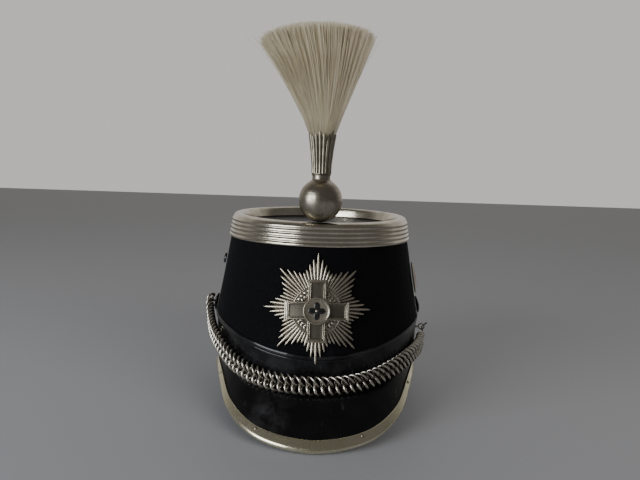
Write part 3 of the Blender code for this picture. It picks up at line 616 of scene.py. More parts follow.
# %% [markdown]
# A wall that runs round the hat could be built face by face. Spinning a section is quicker to read: a
# circle has as many corners as the section, each corner is moved to its place, and Spin carries the section
# round. The spun ring is round, so each of its points is then moved to its place on the oval.

# %% Spin a section and fit it
SPIN_RADIUS = 1.0
Corner = namedtuple("Corner", "offset rise")


def spun(name, corners, steps, sweep=math.tau, radius=SPIN_RADIUS):
    """A ring with a closed section. A part turn keeps its ends, which are filled."""
    clear_selection()
    bpy.ops.mesh.primitive_circle_add(vertices=len(corners), radius=1.0)
    piece = take(name)
    for vertex, corner in zip(piece.data.vertices, corners):
        vertex.co = (radius + corner.offset, 0.0, corner.rise)
    edit_all(piece)
    if sweep < math.tau:
        bpy.ops.mesh.edge_face_add()
        bpy.ops.mesh.duplicate()
        bpy.ops.mesh.select_all(action="SELECT")
    bpy.ops.mesh.spin(steps=steps, angle=sweep, center=(0, 0, 0), axis=(0, 0, 1))
    bpy.ops.object.mode_set(mode="OBJECT")
    return piece


def fitted(piece, place, radius=SPIN_RADIUS):
    """Moves each spun point to place(turn, offset, rise), then closes the seam."""
    for vertex in piece.data.vertices:
        turn = math.atan2(vertex.co.y, vertex.co.x)
        reach = math.hypot(vertex.co.x, vertex.co.y) - radius
        vertex.co = place(turn, reach, vertex.co.z)
    clean(piece)
    return piece


def hat_angle(turn):
    """The spin starts at the hat's left side, and the front is a quarter turn before it."""
    return turn + math.pi / 2


HAT_STEPS = 192
print("steps round the hat:", HAT_STEPS)

# %% [markdown]
# ## The felt crown
# The real crown is one hood of felt blocked over a wooden form, nearly 2 mm thick and open below. It goes
# behind the leather with a small ledge, so that the leather lies flush. A blocked hood is never quite true,
# so a slow wave of a quarter of a millimetre runs over the free part of the wall.

# %% Felt wall
GAP = 0.0003
FELT_THICKNESS = 0.0018
FELT_TOP_HEIGHT = 0.1476
FELT_LEDGE = 0.0015
FELT_RIM_LIFT = 0.0010
FELT_ROWS = 24
FELT_WAVE = 0.00025


def felt_point(turn, offset, rise):
    """Rise runs from 0 at the lower edge to 1 at the ledge and 2 at the top."""
    angle = hat_angle(turn)
    if rise <= 1.0:
        outer = offset > -FELT_THICKNESS
        lift = FELT_RIM_LIFT if rise < 0.5 else GAP * outer
        return lower_point(angle, rise, offset, lift)
    ledge = wave(BELLY_LEVELS, angle) + GAP
    share = rise - 1.0
    wavy = math.sin(3 * angle + 5 * share) + math.sin(5 * angle - 7 * share + 1.0)
    swell = FELT_WAVE * 0.5 * wavy * math.sin(math.pi * share) ** 2
    return upper_point(angle, mix(ledge, FELT_TOP_HEIGHT, share), offset + swell)


def felt_wall():
    inside = -FELT_LEDGE - FELT_THICKNESS
    rows = [1.0 + row / FELT_ROWS for row in range(FELT_ROWS + 1)]
    corners = [Corner(0.0, rise) for rise in reversed(rows)]
    corners += [Corner(-FELT_LEDGE, 1.0), Corner(-FELT_LEDGE, 0.5), Corner(-FELT_LEDGE, 0.0)]
    corners += [Corner(inside, 0.0), Corner(inside, 0.5), Corner(inside, 1.0)]
    corners += [Corner(-FELT_THICKNESS, rise) for rise in rows[2:]]
    crown = fitted(spun("felt_crown", corners, HAT_STEPS), felt_point)
    complete(crown, 40, FELT, "felt", "crown_body")


felt_wall()

# %% [markdown]
# ## The leather base
# A band of leather goes round the base, and a rolled welt covers its upper edge. The welt is a strip of its
# own, folded over and stitched down, so it is spun as a separate ring: a flat roll with a groove where the
# stitches pull it in.

# %% Leather band
LEATHER_THICKNESS = 0.0012
LEATHER_TOP_SHARE = 0.99
HEM_SHARE = 0.022
LEATHER_ROWS = 8
ROUND_CORNERS = 5


def leather_point(turn, offset, rise):
    """Rise is a share of the leather's height."""
    return lower_point(hat_angle(turn), rise, offset)


def leather_band():
    edge = LEATHER_THICKNESS / 2
    rows = [row / LEATHER_ROWS for row in range(LEATHER_ROWS + 1)]
    corners = []
    for step in range(ROUND_CORNERS):
        bend = math.pi * (step + 0.5) / ROUND_CORNERS
        corners.append(Corner(-edge + edge * math.cos(bend), HEM_SHARE - HEM_SHARE * math.sin(bend)))
    corners += [Corner(-LEATHER_THICKNESS, rise * LEATHER_TOP_SHARE) for rise in rows[1:]]
    corners += [Corner(0.0, rise * LEATHER_TOP_SHARE) for rise in reversed(rows[1:])]
    band = fitted(spun("leather_band", corners, HAT_STEPS), leather_point)
    complete(band, 40, LEATHER, "leather", "base_band")


leather_band()

# %% Welt
WELT_RISE = 0.0009
WELT_HEIGHT = 0.0040
WELT_CORNERS = 14
WELT_ROLL_SHARE = 0.80
WELT_ROLL_START = 0.08
WELT_ROLL_STRETCH = 1.15
WELT_FLAT_SWELL = 0.35
WELT_LEAST_SHARE = 0.25
STITCH_SHARE = 0.74
STITCH_SPREAD = 0.05
STITCH_DEPTH = 0.00035


def welt_point(turn, offset, rise):
    return lower_point(hat_angle(turn), 1.0, offset, rise)


def leather_welt():
    """A flat roll, thickest a little above its middle, with a stitched groove below it."""
    corners = []
    for step in range(WELT_CORNERS + 1):
        share = step / WELT_CORNERS
        height = -WELT_HEIGHT * share
        swell = WELT_FLAT_SWELL
        if share < WELT_ROLL_SHARE:
            swell = math.sin(math.pi * min(1.0, share * WELT_ROLL_STRETCH + WELT_ROLL_START)) ** 0.5
        groove = STITCH_DEPTH * math.exp(-(((share - STITCH_SHARE) / STITCH_SPREAD) ** 2))
        corners.append(Corner(WELT_RISE * mix(WELT_LEAST_SHARE, 1.0, swell) - groove, height))
    corners += [Corner(-LEATHER_THICKNESS * 0.5, -WELT_HEIGHT), Corner(-LEATHER_THICKNESS * 0.5, 0.0)]
    welt = fitted(spun("leather_welt", corners, HAT_STEPS), welt_point)
    complete(welt, 50, WELT_LEATHER, "leather")


leather_welt()


# %% [markdown]
# ## The ribbed band
# The band round the top is pressed from sheet: five round ribs, a rounded shoulder, and a lip that turns
# down inside. Each rib is half a wave in the section, with enough corners to look round in a reflection.
# The ball of the plume sits in a shallow dish, made by pushing out what would lie inside the ball.

# %% Smooth stretches of a section
def smooth_step(values, index, share):
    """A smooth curve from one value of a row to the next, which also looks at the values beside them."""
    before, start = values[max(index - 1, 0)], values[index]
    end, after = values[index + 1], values[min(index + 2, len(values) - 1)]
    bend = 2 * before - 5 * start + 4 * end - after
    twist = 3 * start - before - 3 * end + after
    return start + 0.5 * share * (end - before + share * (bend + share * twist))


def smooth_line(points, between):
    """A curve through the points of a section, with some corners between each pair."""
    offsets, rises = zip(*points)
    made = []
    for index in range(len(points) - 1):
        for step in range(between):
            share = step / between
            made.append(Corner(smooth_step(offsets, index, share), smooth_step(rises, index, share)))
    return [*made, points[-1]]


# %% Metal band
BAND_BOTTOM = 0.1311
BAND_THICKNESS = 0.0011
BAND_RIBS = 5
BAND_RIB_RISE = 0.0008
BAND_RIBS_TOP = 0.1470
BAND_HEM = 0.0003
BAND_INSIDE_TOP = 0.1475
BAND_INSIDE_ROWS = 6
RIB_CORNERS = 7
RIB_ROUNDNESS = 0.8
BAND_FACE = BAND_THICKNESS + GAP
BAND_SHOULDER = (
    Corner(BAND_FACE + 0.0002, 0.1472),
    Corner(0.0010, 0.1490),
    Corner(-0.0008, 0.1502),
    Corner(-0.0038, 0.1503),
    Corner(-0.0062, 0.1488),
    Corner(-0.0086, 0.1430),
)
BAND_INSIDE = (Corner(-0.0077, 0.1428), Corner(-0.0052, 0.1480), Corner(-0.0034, 0.1490), Corner(GAP, 0.1482))
BALL_CENTRE = Vector((0.0, -0.0600, 0.1646))
BALL_RADIUS = 0.0160
TOP_TILT_FRONT = 0.022
TOP_TILT_BACK = 0.010


def band_point(turn, offset, rise):
    """The shoulder's crest is a little lower at the front than at the back."""
    spot = upper_point(hat_angle(turn), rise, offset)
    shoulder = min(1.0, max(0.0, (rise - BAND_RIBS_TOP) / (TOP_HEIGHT - BAND_RIBS_TOP)))
    behind = spot.y - OVAL_CENTRE_Y
    spot.z += (TOP_TILT_BACK if behind > 0 else TOP_TILT_FRONT) * behind * shoulder
    away = spot - BALL_CENTRE
    least = BALL_RADIUS + 2 * GAP
    return BALL_CENTRE + away.normalized() * least if away.length < least else spot


def metal_band():
    pitch = (BAND_RIBS_TOP - BAND_BOTTOM) / BAND_RIBS
    corners = [Corner(BAND_FACE - BAND_HEM, BAND_BOTTOM)]
    for rib in range(BAND_RIBS):
        for step in range(RIB_CORNERS):
            share = (step + 0.5) / RIB_CORNERS
            swell = BAND_RIB_RISE * math.sin(math.pi * share) ** RIB_ROUNDNESS
            corners.append(Corner(BAND_FACE + swell, BAND_BOTTOM + pitch * (rib + share)))
    corners += smooth_line(BAND_SHOULDER, 4)
    corners += smooth_line(BAND_INSIDE, 3)
    for row in range(BAND_INSIDE_ROWS + 1):
        corners.append(Corner(GAP, mix(BAND_INSIDE_TOP, BAND_BOTTOM, row / BAND_INSIDE_ROWS)))
    band = fitted(spun("metal_band", corners, HAT_STEPS), band_point)
    complete(band, 60, BAND_METAL, "nickel", "top_band")


metal_band()

# %% [markdown]
# The disc inside the band is plain and matt, and its solid has the right shape already. It keeps its solid
# and only gets a finish, by putting the material in the object's slot.

# %% Crown's top
crown_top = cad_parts["crown_top"]
crown_top.data.materials.clear()
crown_top.data.materials.append(DULL_LEATHER)
print("crown top keeps its solid")

# %% [markdown]
# ## The peak
# The peak is stiff leather that falls steeply at the front and more steeply at the sides. It is a part
# turn of a section, so the same spin makes it: here each corner holds a share of the reach and a rise.

# %% Peak's shape
Reach = namedtuple("Reach", "angle reach")
PEAK_REACHES = (
    Reach(0, 0.0463),
    Reach(18, 0.0410),
    Reach(36, 0.0279),
    Reach(52, 0.0135),
    Reach(66, 0.0066),
)
PEAK_END_ANGLE = 66.0
PEAK_FRONT_SLOPE = math.radians(37.6)
PEAK_SIDE_SLOPE = math.radians(65.3)
PEAK_THICKNESS = 0.0022
PEAK_ROOT_CLEARANCE = 0.0005
PEAK_TUCK = 0.0006
PEAK_CROWNING = 0.0008
PEAK_STEPS = 96
SHEET_METAL = 0.0007
METAL_CLEARANCE = 0.0004
BINDING_FRONT_WIDTH = 0.0082
BINDING_SIDE_WIDTH = 0.0060
BINDING_UNDER_WIDTH = 0.0045


def smooth_value(rows, column, angle):
    """The value at an angle on a smooth curve through one column of a table."""
    values = [getattr(row, column) for row in rows]
    low = 0
    while low < len(rows) - 2 and angle > rows[low + 1].angle:
        low += 1
    share = (angle - rows[low].angle) / (rows[low + 1].angle - rows[low].angle)
    return smooth_step(values, low, share)


class PeakSection:
    """The peak at one angle: where it leaves the lower edge, which way it runs and how far."""

    def __init__(self, degrees):
        angle = math.radians(degrees)
        share = abs(degrees) / PEAK_END_ANGLE
        slope = mix(PEAK_FRONT_SLOPE, PEAK_SIDE_SLOPE, share**2)
        outward = oval_normal(RIM_HALF_WIDTH, RIM_HALF_LENGTH, angle)
        self.root = oval_point(RIM_HALF_WIDTH, RIM_HALF_LENGTH, angle, rim_height(angle))
        self.along = outward * math.cos(slope) - UP * math.sin(slope)
        self.up = outward * math.sin(slope) + UP * math.cos(slope)
        self.reach = smooth_value(PEAK_REACHES, "reach", abs(degrees))
        width = mix(BINDING_FRONT_WIDTH, BINDING_SIDE_WIDTH, share)
        self.width = min(width, self.reach - PEAK_ROOT_CLEARANCE)

    def crown(self, distance):
        share = distance / self.reach
        return 4 * PEAK_CROWNING * share * (1 - share) * self.reach / PEAK_REACHES[0].reach

    def point(self, distance, rise):
        place = self.root + self.along * distance + self.up * (rise + self.crown(distance))
        return Vector((place.x, place.y, max(place.z, 0.0)))


print("peak's reach at the front, mm:", round(PeakSection(0.0).reach * 1000, 1))

# %% Peak
PEAK_SWEEP = math.radians(2 * PEAK_END_ANGLE)
PEAK_ROWS = 14
PEAK_SPIN_RADIUS = 4.0


def peak_section_at(turn):
    """The spin may run either way, and the peak is the same on both sides."""
    return PeakSection(math.degrees(abs(turn)) - PEAK_END_ANGLE)


def spun_on_peak(name, corners, place):
    ring = spun(name, corners, PEAK_STEPS, PEAK_SWEEP, PEAK_SPIN_RADIUS)
    return fitted(ring, place, PEAK_SPIN_RADIUS)


def peak_point(turn, offset, rise):
    section = peak_section_at(turn)
    edge = section.reach - SHEET_METAL - METAL_CLEARANCE
    return section.point(mix(-PEAK_TUCK, edge, offset), rise)


def leather_peak():
    half = PEAK_THICKNESS / 2
    shares = [row / PEAK_ROWS for row in range(PEAK_ROWS + 1)]
    corners = [Corner(share, half) for share in shares]
    corners += [Corner(share, -half) for share in reversed(shares)]
    complete(spun_on_peak("leather_peak", corners, peak_point), 50, PEAK_LEATHER, "leather", "peak")


leather_peak()

# %% [markdown]
# The binding is folded from one strip: a broad leaf on top, a round nose round the edge, and a narrow leaf
# below. A thickened sheet would do as well, but a closed section gives the nose an exact thickness.

# %% Binding
NOSE_CORNERS = 9
FOLD_CORNERS = 5
FOLD_SHARE = 0.75
LEAF_EDGE_SHARE = 0.97
LEAF_EDGE_ROUND = 0.0001
LEAF_ROWS = 6


def binding_point(turn, offset, rise):
    """Offset 0 to 1 runs back along a leaf, and 0 to -1 out to the nose."""
    section = peak_section_at(turn)
    under = min(BINDING_UNDER_WIDTH, section.width)
    outside = PEAK_THICKNESS / 2 + METAL_CLEARANCE + SHEET_METAL
    if offset >= 0.0:
        back = section.width if rise > 0 else under
        return section.point(section.reach - outside - (back - outside) * offset, rise)
    return section.point(section.reach - outside - outside * offset, rise)


def metal_binding():
    inside = PEAK_THICKNESS / 2 + METAL_CLEARANCE
    outside = inside + SHEET_METAL
    corners = [Corner(1.0, inside), Corner(1.0, outside - LEAF_EDGE_ROUND), Corner(LEAF_EDGE_SHARE, outside)]
    corners += [Corner(LEAF_EDGE_SHARE * (1 - step / LEAF_ROWS), outside) for step in range(1, LEAF_ROWS)]
    for step in range(NOSE_CORNERS):
        bend = math.pi * step / (NOSE_CORNERS - 1)
        corners.append(Corner(-math.sin(bend), outside * math.cos(bend)))
    corners += [Corner(0.5, -outside), Corner(1.0, -outside), Corner(1.0, -inside), Corner(0.5, -inside)]
    for step in range(FOLD_CORNERS):
        bend = math.pi * (1 - step / (FOLD_CORNERS - 1))
        corners.append(Corner(-math.sin(bend) * FOLD_SHARE, inside * math.cos(bend)))
    corners += [Corner(0.5, inside)]
    binding = spun_on_peak("metal_binding", corners, binding_point)
    complete(binding, 50, BINDING_METAL, "binding", "peak_binding")


metal_binding()

# %% [markdown]
# Four small rivets hold the binding. Each is a ball cut in half by Bisect, flattened and turned to stand
# square on the sloping metal.

# %% Rivets
RIVET_ANGLES = (-53.0, -19.3, 16.2, 50.5)
RIVET_RADIUS = 0.0011
RIVET_RISE = 0.0008
RIVET_SHARE = 0.72


def rivet(number, degrees):
    section = PeakSection(degrees)
    rise = PEAK_THICKNESS / 2 + METAL_CLEARANCE + SHEET_METAL
    centre = section.point(section.reach - section.width * RIVET_SHARE, rise)
    clear_selection()
    bpy.ops.mesh.primitive_uv_sphere_add(segments=24, ring_count=12, radius=RIVET_RADIUS)
    piece = take(f"rivet_{number}")
    edit_all(piece)
    bpy.ops.mesh.bisect(plane_co=(0, 0, 0), plane_no=(0, 0, 1), clear_inner=True, use_fill=True)
    bpy.ops.mesh.select_all(action="SELECT")
    bpy.ops.transform.resize(value=(1, 1, RIVET_RISE / RIVET_RADIUS), center_override=(0, 0, 0))
    bpy.ops.object.mode_set(mode="OBJECT")
    piece.data.transform(standing(centre, section.up))
    clean(piece)
    complete(piece, 50, OLD_SILVER, "old_silver", f"peak_rivet_{number}")


for number, degrees in enumerate(RIVET_ANGLES, start=1):
    rivet(number, degrees)

# %% [markdown]
# ## The badge
# The badge is pressed in layers: a star of fine rays, a wreath, a cross and a small dish. All of it is
# modelled lying flat, with x across, y up and z out of the hat, because straight things are easy to model
# and to check that way. The flat metal is then bent round the front of the crown point by point.

# %% Bend flat metal onto the crown
BADGE_HEIGHT = 0.0870
BADGE_BEND_RADIUS = 0.100
BADGE_STANDOFF = 0.0009


def badge_axes():
    belly = wave(BELLY_LEVELS, 0.0)
    lean = math.atan2(BELLY_HALF_LENGTH - TOP_HALF_LENGTH, TOP_HEIGHT - belly)
    upward = Vector((0, math.sin(lean), math.cos(lean)))
    outward = Vector((0, -math.cos(lean), math.sin(lean)))
    return upper_point(0.0, BADGE_HEIGHT, BADGE_STANDOFF), upward, outward


def flat_point(across, up, rise):
    centre, upward, outward = badge_axes()
    return centre + Vector((across, 0, 0)) + upward * up + outward * rise


def bent_point(across, up, rise):
    turn = across / BADGE_BEND_RADIUS
    radius = BADGE_BEND_RADIUS + rise
    return flat_point(radius * math.sin(turn), up, radius * math.cos(turn) - BADGE_BEND_RADIUS)


def put_on_crown(piece, place=bent_point):
    """Carries a flat model to the front of the crown, bent round it or flat."""
    for vertex in piece.data.vertices:
        vertex.co = place(*vertex.co)
    clean(piece)


print("middle of the badge, m:", [round(value, 4) for value in badge_axes()[0]])

# %% [markdown]
# A ray is a narrow rod cut in half along its length: round on top and flat below, and it runs out to a
# blunt tip. A low web of duller metal fills the gap between two rays as far as their notch. Five lengths
# make all 64 rays.

# %% Rods that are halved and drawn out
LEVEL_SLACK = 1e-5
ROD_SIDES = 12


def select_end(piece, distance):
    """Selects the faces of a rod that lie beyond a distance from the star's middle."""
    bpy.ops.object.mode_set(mode="EDIT")
    bpy.ops.mesh.select_mode(type="FACE")
    bpy.ops.mesh.select_all(action="DESELECT")
    bpy.ops.object.mode_set(mode="OBJECT")
    for face in piece.data.polygons:
        face.select = face.center.y > distance - LEVEL_SLACK
    bpy.ops.object.mode_set(mode="EDIT")


def round_rod(start, end, start_width, end_width):
    """A rod along +Y with its half width at each end."""
    clear_selection()
    bpy.ops.mesh.primitive_cone_add(
        vertices=ROD_SIDES,
        radius1=start_width,
        radius2=end_width,
        depth=end - start,
        rotation=(math.radians(-90), 0, 0),
        location=(0, (start + end) / 2, 0),
    )
    return take("rod")


def halved(rod, width, rise):
    """Keeps the upper half and gives it a height."""
    edit_all(rod)
    bpy.ops.mesh.bisect(plane_co=(0, 0, 0), plane_no=(0, 0, 1), clear_inner=True, use_fill=True)
    bpy.ops.object.mode_set(mode="OBJECT")
    rod.data.transform(Matrix.Diagonal((1.0, 1.0, rise / width, 1.0)))
    return rod


def drawn_out(rod, start, width, steps):
    """Pulls the end of a rod out in steps of (distance, half width)."""
    select_end(rod, start)
    for distance, narrower in steps:
        bpy.ops.mesh.extrude_region_move(TRANSFORM_OT_translate={"value": (0, distance - start, 0)})
        bpy.ops.transform.resize(value=(narrower / width,) * 3, center_override=(0, distance, 0))
        start, width = distance, narrower
    bpy.ops.object.mode_set(mode="OBJECT")


# %% One ray
STAR_RAYS = 64
RAY_START = 0.0160
RAY_HALF_WIDTH = 0.00092
RAY_HEIGHT = 0.0011
RAY_WAIST_SHARE = 0.92
RAY_WAIST_PLACE = 0.6
RAY_TIP_WIDTH = 0.00042
WEB_RISE = 0.0003
WEB_SHOULDER = 0.95
WEB_END_SHARE = 0.70
WEB_OVERLAP = 1.01
BRIGHT, DULL = 0, 1


def two_metals(piece, chosen):
    """Both badge metals, with every face in the chosen one."""
    for metal in (BADGE_METAL, PANEL_METAL):
        piece.data.materials.append(metal)
    for face in piece.data.polygons:
        face.material_index = chosen


def star_ray(tip, notch):
    """One ray along +Y, from under the wreath to its tip, with the dull web beside it."""
    ray = round_rod(RAY_START, notch, RAY_HALF_WIDTH, RAY_HALF_WIDTH)
    waist = (mix(notch, tip, RAY_WAIST_PLACE), RAY_HALF_WIDTH * RAY_WAIST_SHARE)
    drawn_out(ray, notch, RAY_HALF_WIDTH, (waist, (tip, RAY_TIP_WIDTH)))
    two_metals(halved(ray, RAY_HALF_WIDTH, RAY_HEIGHT), BRIGHT)
    spread = math.tan(math.pi / STAR_RAYS) * WEB_OVERLAP
    shoulder = notch * WEB_SHOULDER
    web = round_rod(RAY_START, shoulder, RAY_START * spread, shoulder * spread)
    drawn_out(web, shoulder, shoulder * spread, ((notch, notch * spread * WEB_END_SHARE),))
    two_metals(halved(web, shoulder * spread, WEB_RISE), DULL)
    return join("ray", [ray, web])


# %% Star
STAR_TIP_RADII = (0.0391, 0.0345, 0.0312, 0.0281, 0.0268, 0.0281, 0.0312, 0.0345)
STAR_NOTCH_SHARE = 0.92
STAR_LIFT = 0.0021
PLATE_RADIUS = 0.0178
PLATE_THICKNESS = 0.0008
PLATE_SINK = 0.0001


def star():
    lengths = len(STAR_TIP_RADII)
    rays = []
    for index, tip in enumerate(STAR_TIP_RADII):
        nearest = min(tip, STAR_TIP_RADII[(index + 1) % lengths], STAR_TIP_RADII[index - 1])
        notch = nearest * STAR_NOTCH_SHARE
        model = star_ray(tip, notch)
        for turn in range(index, STAR_RAYS, lengths):
            around = Matrix.Rotation(-math.tau * turn / STAR_RAYS, 4, "Z")
            rays.append(copy_of(model, around))
        bpy.data.objects.remove(model)
    clear_selection()
    bpy.ops.mesh.primitive_cylinder_add(
        vertices=128,
        radius=PLATE_RADIUS,
        depth=PLATE_THICKNESS,
        location=(0, 0, PLATE_THICKNESS / 2 - PLATE_SINK),
    )
    plate = take("plate")
    two_metals(plate, BRIGHT)
    whole = join("star_rays", [plate, *rays])
    whole.data.transform(Matrix.Translation((0, STAR_LIFT, 0)))
    put_on_crown(whole)
    complete(whole, 45, None, "nickel", "badge_star")


star()

# %% [markdown]
# The wreath lies on the star and shows between the arms of the cross: pairs of small leaves on a thin disc,
# with a thin ring outside them. One leaf is a ball stretched to a leaf's shape and pinched at its tip, and
# all others are copies.

# %% Wreath
WREATH_RADIUS = 0.0136
WREATH_RING_RADIUS = 0.0172
WREATH_LEAVES = 32
LEAF_LENGTH = 0.0021
LEAF_WIDTH = 0.00115
LEAF_HEIGHT = 0.0010
LEAF_APART = 0.0011
LEAF_LEAN = 38
LEAF_PINCH = 0.55
LEAF_CREASE = 0.25
LEAF_CREASE_SHARPNESS = 2.5
WREATH_FOOT = 0.0016
WREATH_RING_WIRE = 0.00042
WREATH_GROUND = 0.0006
WREATH_GROUND_DROP = 0.0004


def wreath_leaf():
    clear_selection()
    on_its_side = (math.radians(90), 0, 0)
    bpy.ops.mesh.primitive_uv_sphere_add(segments=8, ring_count=6, radius=1.0, rotation=on_its_side)
    leaf = take("leaf")
    for vertex in leaf.data.vertices:
        share = vertex.co.y * 0.5 + 0.5
        pinch = 1.0 - LEAF_PINCH * share
        crease = LEAF_CREASE * (1.0 - min(1.0, abs(vertex.co.x) * LEAF_CREASE_SHARPNESS))
        vertex.co.x *= LEAF_WIDTH * pinch
        vertex.co.y *= LEAF_LENGTH
        vertex.co.z *= LEAF_HEIGHT * (1 - crease)
    return leaf


def wreath():
    model = wreath_leaf()
    pieces = []
    for number in range(WREATH_LEAVES):
        angle = math.tau * number / WREATH_LEAVES
        for side in (-1, 1):
            radius = WREATH_RADIUS + side * LEAF_APART
            place = Matrix.Rotation(-angle, 4, "Z") @ Matrix.Translation((0, radius, WREATH_FOOT))
            place = place @ Matrix.Rotation(math.radians(90 - side * LEAF_LEAN), 4, "Z")
            pieces.append(copy_of(model, place))
    bpy.data.objects.remove(model)
    clear_selection()
    bpy.ops.mesh.primitive_torus_add(
        major_radius=WREATH_RING_RADIUS,
        minor_radius=WREATH_RING_WIRE,
        major_segments=128,
        minor_segments=10,
        location=(0, 0, WREATH_FOOT),
    )
    ring = take("ring")
    clear_selection()
    bpy.ops.mesh.primitive_cylinder_add(
        vertices=96,
        radius=WREATH_RING_RADIUS,
        depth=WREATH_GROUND,
        location=(0, 0, WREATH_FOOT - WREATH_GROUND_DROP),
    )
    ground = take("ground")
    whole = join("wreath", [ground, ring, *pieces])
    put_on_crown(whole)
    complete(whole, 60, BADGE_METAL, "nickel")


wreath()


# %% [markdown]
# Each arm of the cross is a shallow tray: a block whose front is inset and pushed down, then inset and
# raised to a thin bead, then inset and sunk again. Inset and a short move do all of it. The sunk panel is of
# the duller metal. One arm is modelled and turned to make four, and a bar closes each end.

# %% Blocks, bevels and cuts
def select_top(piece):
    """Selects the faces that look along +Z at a piece's highest level."""
    bpy.ops.object.mode_set(mode="EDIT")
    bpy.ops.mesh.select_mode(type="FACE")
    bpy.ops.mesh.select_all(action="DESELECT")
    bpy.ops.object.mode_set(mode="OBJECT")
    top = max(vertex.co.z for vertex in piece.data.vertices)
    for face in piece.data.polygons:
        face.select = face.normal.z > 0.9 and face.center.z > top - LEVEL_SLACK
    bpy.ops.object.mode_set(mode="EDIT")


def block(name, size, centre):
    clear_selection()
    bpy.ops.mesh.primitive_cube_add(size=1.0, location=centre, scale=size)
    piece = take(name)
    two_metals(piece, BRIGHT)
    return piece


def bevelled(piece, width, segments=2):
    only(piece)
    bevel = piece.modifiers.new("edge", "BEVEL")
    bevel.width = width
    bevel.segments = segments
    bpy.ops.object.modifier_apply(modifier=bevel.name)
    return piece


def sliced(piece, spacing, half_span):
    """Cuts across a long piece, so that it can bend smoothly."""
    edit_all(piece)
    cuts = int(half_span / spacing)
    for cut in range(-cuts, cuts + 1):
        bpy.ops.mesh.select_all(action="SELECT")
        bpy.ops.mesh.bisect(plane_co=(cut * spacing, 0, 0), plane_no=(1, 0, 0))
    bpy.ops.object.mode_set(mode="OBJECT")
    return piece


# %% Cross
CROSS_HALF_SPAN = 0.0221
CROSS_HALF_ARM = 0.0060
CROSS_BACK = 0.0028
CROSS_THICKNESS = 0.0016
ARM_START = 0.0060
BAR_DEPTH = 0.0011
BAR_OVERHANG = 0.0008
BAR_RISE = 0.0003
CROSS_CUTS = 0.002
ARM_BEVEL = 0.00010
BAR_BEVEL = 0.00025
TRAY_STEPS = ((0.0007, 0.0), (0.0003, -0.0006), (0.0003, 0.0005), (0.0003, 0.0), (0.0003, -0.0009))


def cross_arm():
    length = CROSS_HALF_SPAN - BAR_DEPTH - ARM_START
    level = CROSS_BACK + CROSS_THICKNESS / 2
    arm = block("arm", (2 * CROSS_HALF_ARM, length, CROSS_THICKNESS), (0, ARM_START + length / 2, level))
    select_top(arm)
    for inset, move in TRAY_STEPS:
        bpy.ops.mesh.inset(thickness=inset, depth=0.0)
        bpy.ops.transform.translate(value=(0, 0, move))
    bpy.ops.object.mode_set(mode="OBJECT")
    for face in arm.data.polygons:
        face.material_index = DULL if face.select else BRIGHT
    bevelled(arm, ARM_BEVEL)
    bar = block(
        "bar",
        (2 * (CROSS_HALF_ARM + BAR_OVERHANG), BAR_DEPTH, CROSS_THICKNESS + BAR_RISE),
        (0, CROSS_HALF_SPAN - BAR_DEPTH / 2, level + BAR_RISE / 3),
    )
    bevelled(bar, BAR_BEVEL, segments=3)
    return join("arm", [arm, bar])


def cross():
    model = cross_arm()
    arms = [copy_of(model, Matrix.Rotation(math.radians(90 * quarter), 4, "Z")) for quarter in range(4)]
    bpy.data.objects.remove(model)
    width = 2 * CROSS_HALF_ARM
    middle = block("middle", (width, width, CROSS_THICKNESS), (0, 0, CROSS_BACK + CROSS_THICKNESS / 2))
    whole = join("cross", [middle, *arms])
    sliced(whole, CROSS_CUTS, CROSS_HALF_SPAN)
    put_on_crown(whole)
    complete(whole, 30, None, "nickel", "badge_cross")


cross()

# %% [markdown]
# The dish in the middle is turned work: a cylinder whose front is inset and pushed down leaves a raised
# rim, which Bevel rounds. In it lies a plain flower with four petals, painted black.

# %% Dish
ROUNDEL_RADIUS = 0.0095
ROUNDEL_BACK = 0.0045
ROUNDEL_THICKNESS = 0.0014
ROUNDEL_RIM = 0.0010
ROUNDEL_SINK = 0.0007
ROUNDEL_BEVEL = 0.00022


def roundel():
    clear_selection()
    bpy.ops.mesh.primitive_cylinder_add(
        vertices=96,
        radius=ROUNDEL_RADIUS,
        depth=ROUNDEL_THICKNESS,
        location=(0, 0, ROUNDEL_BACK + ROUNDEL_THICKNESS / 2),
    )
    dish = take("roundel")
    select_top(dish)
    bpy.ops.mesh.inset(thickness=ROUNDEL_RIM, depth=0.0)
    bpy.ops.mesh.inset(thickness=ROUNDEL_SINK * 0.5, depth=0.0)
    bpy.ops.transform.translate(value=(0, 0, -ROUNDEL_SINK))
    bpy.ops.object.mode_set(mode="OBJECT")
    bevelled(dish, ROUNDEL_BEVEL, segments=3)
    put_on_crown(dish, flat_point)
    complete(dish, 50, BADGE_METAL, "nickel", "badge_roundel")


roundel()

# %% Flower
PETALS = 4
PETAL_LENGTH = 0.0030
PETAL_WIDTH = 0.0021
PETAL_HEIGHT = 0.0005
PETAL_WAIST = 0.62
PETAL_LIFT_SHARE = 0.4
PETAL_PLACE_SHARE = 1.05
GROOVE_WIDTH = 0.16
GROOVE_DEPTH = 0.35
EYE_RADIUS = 0.0011
EYE_LIFT = 0.0002
EYE_HEIGHT_SHARE = 0.6


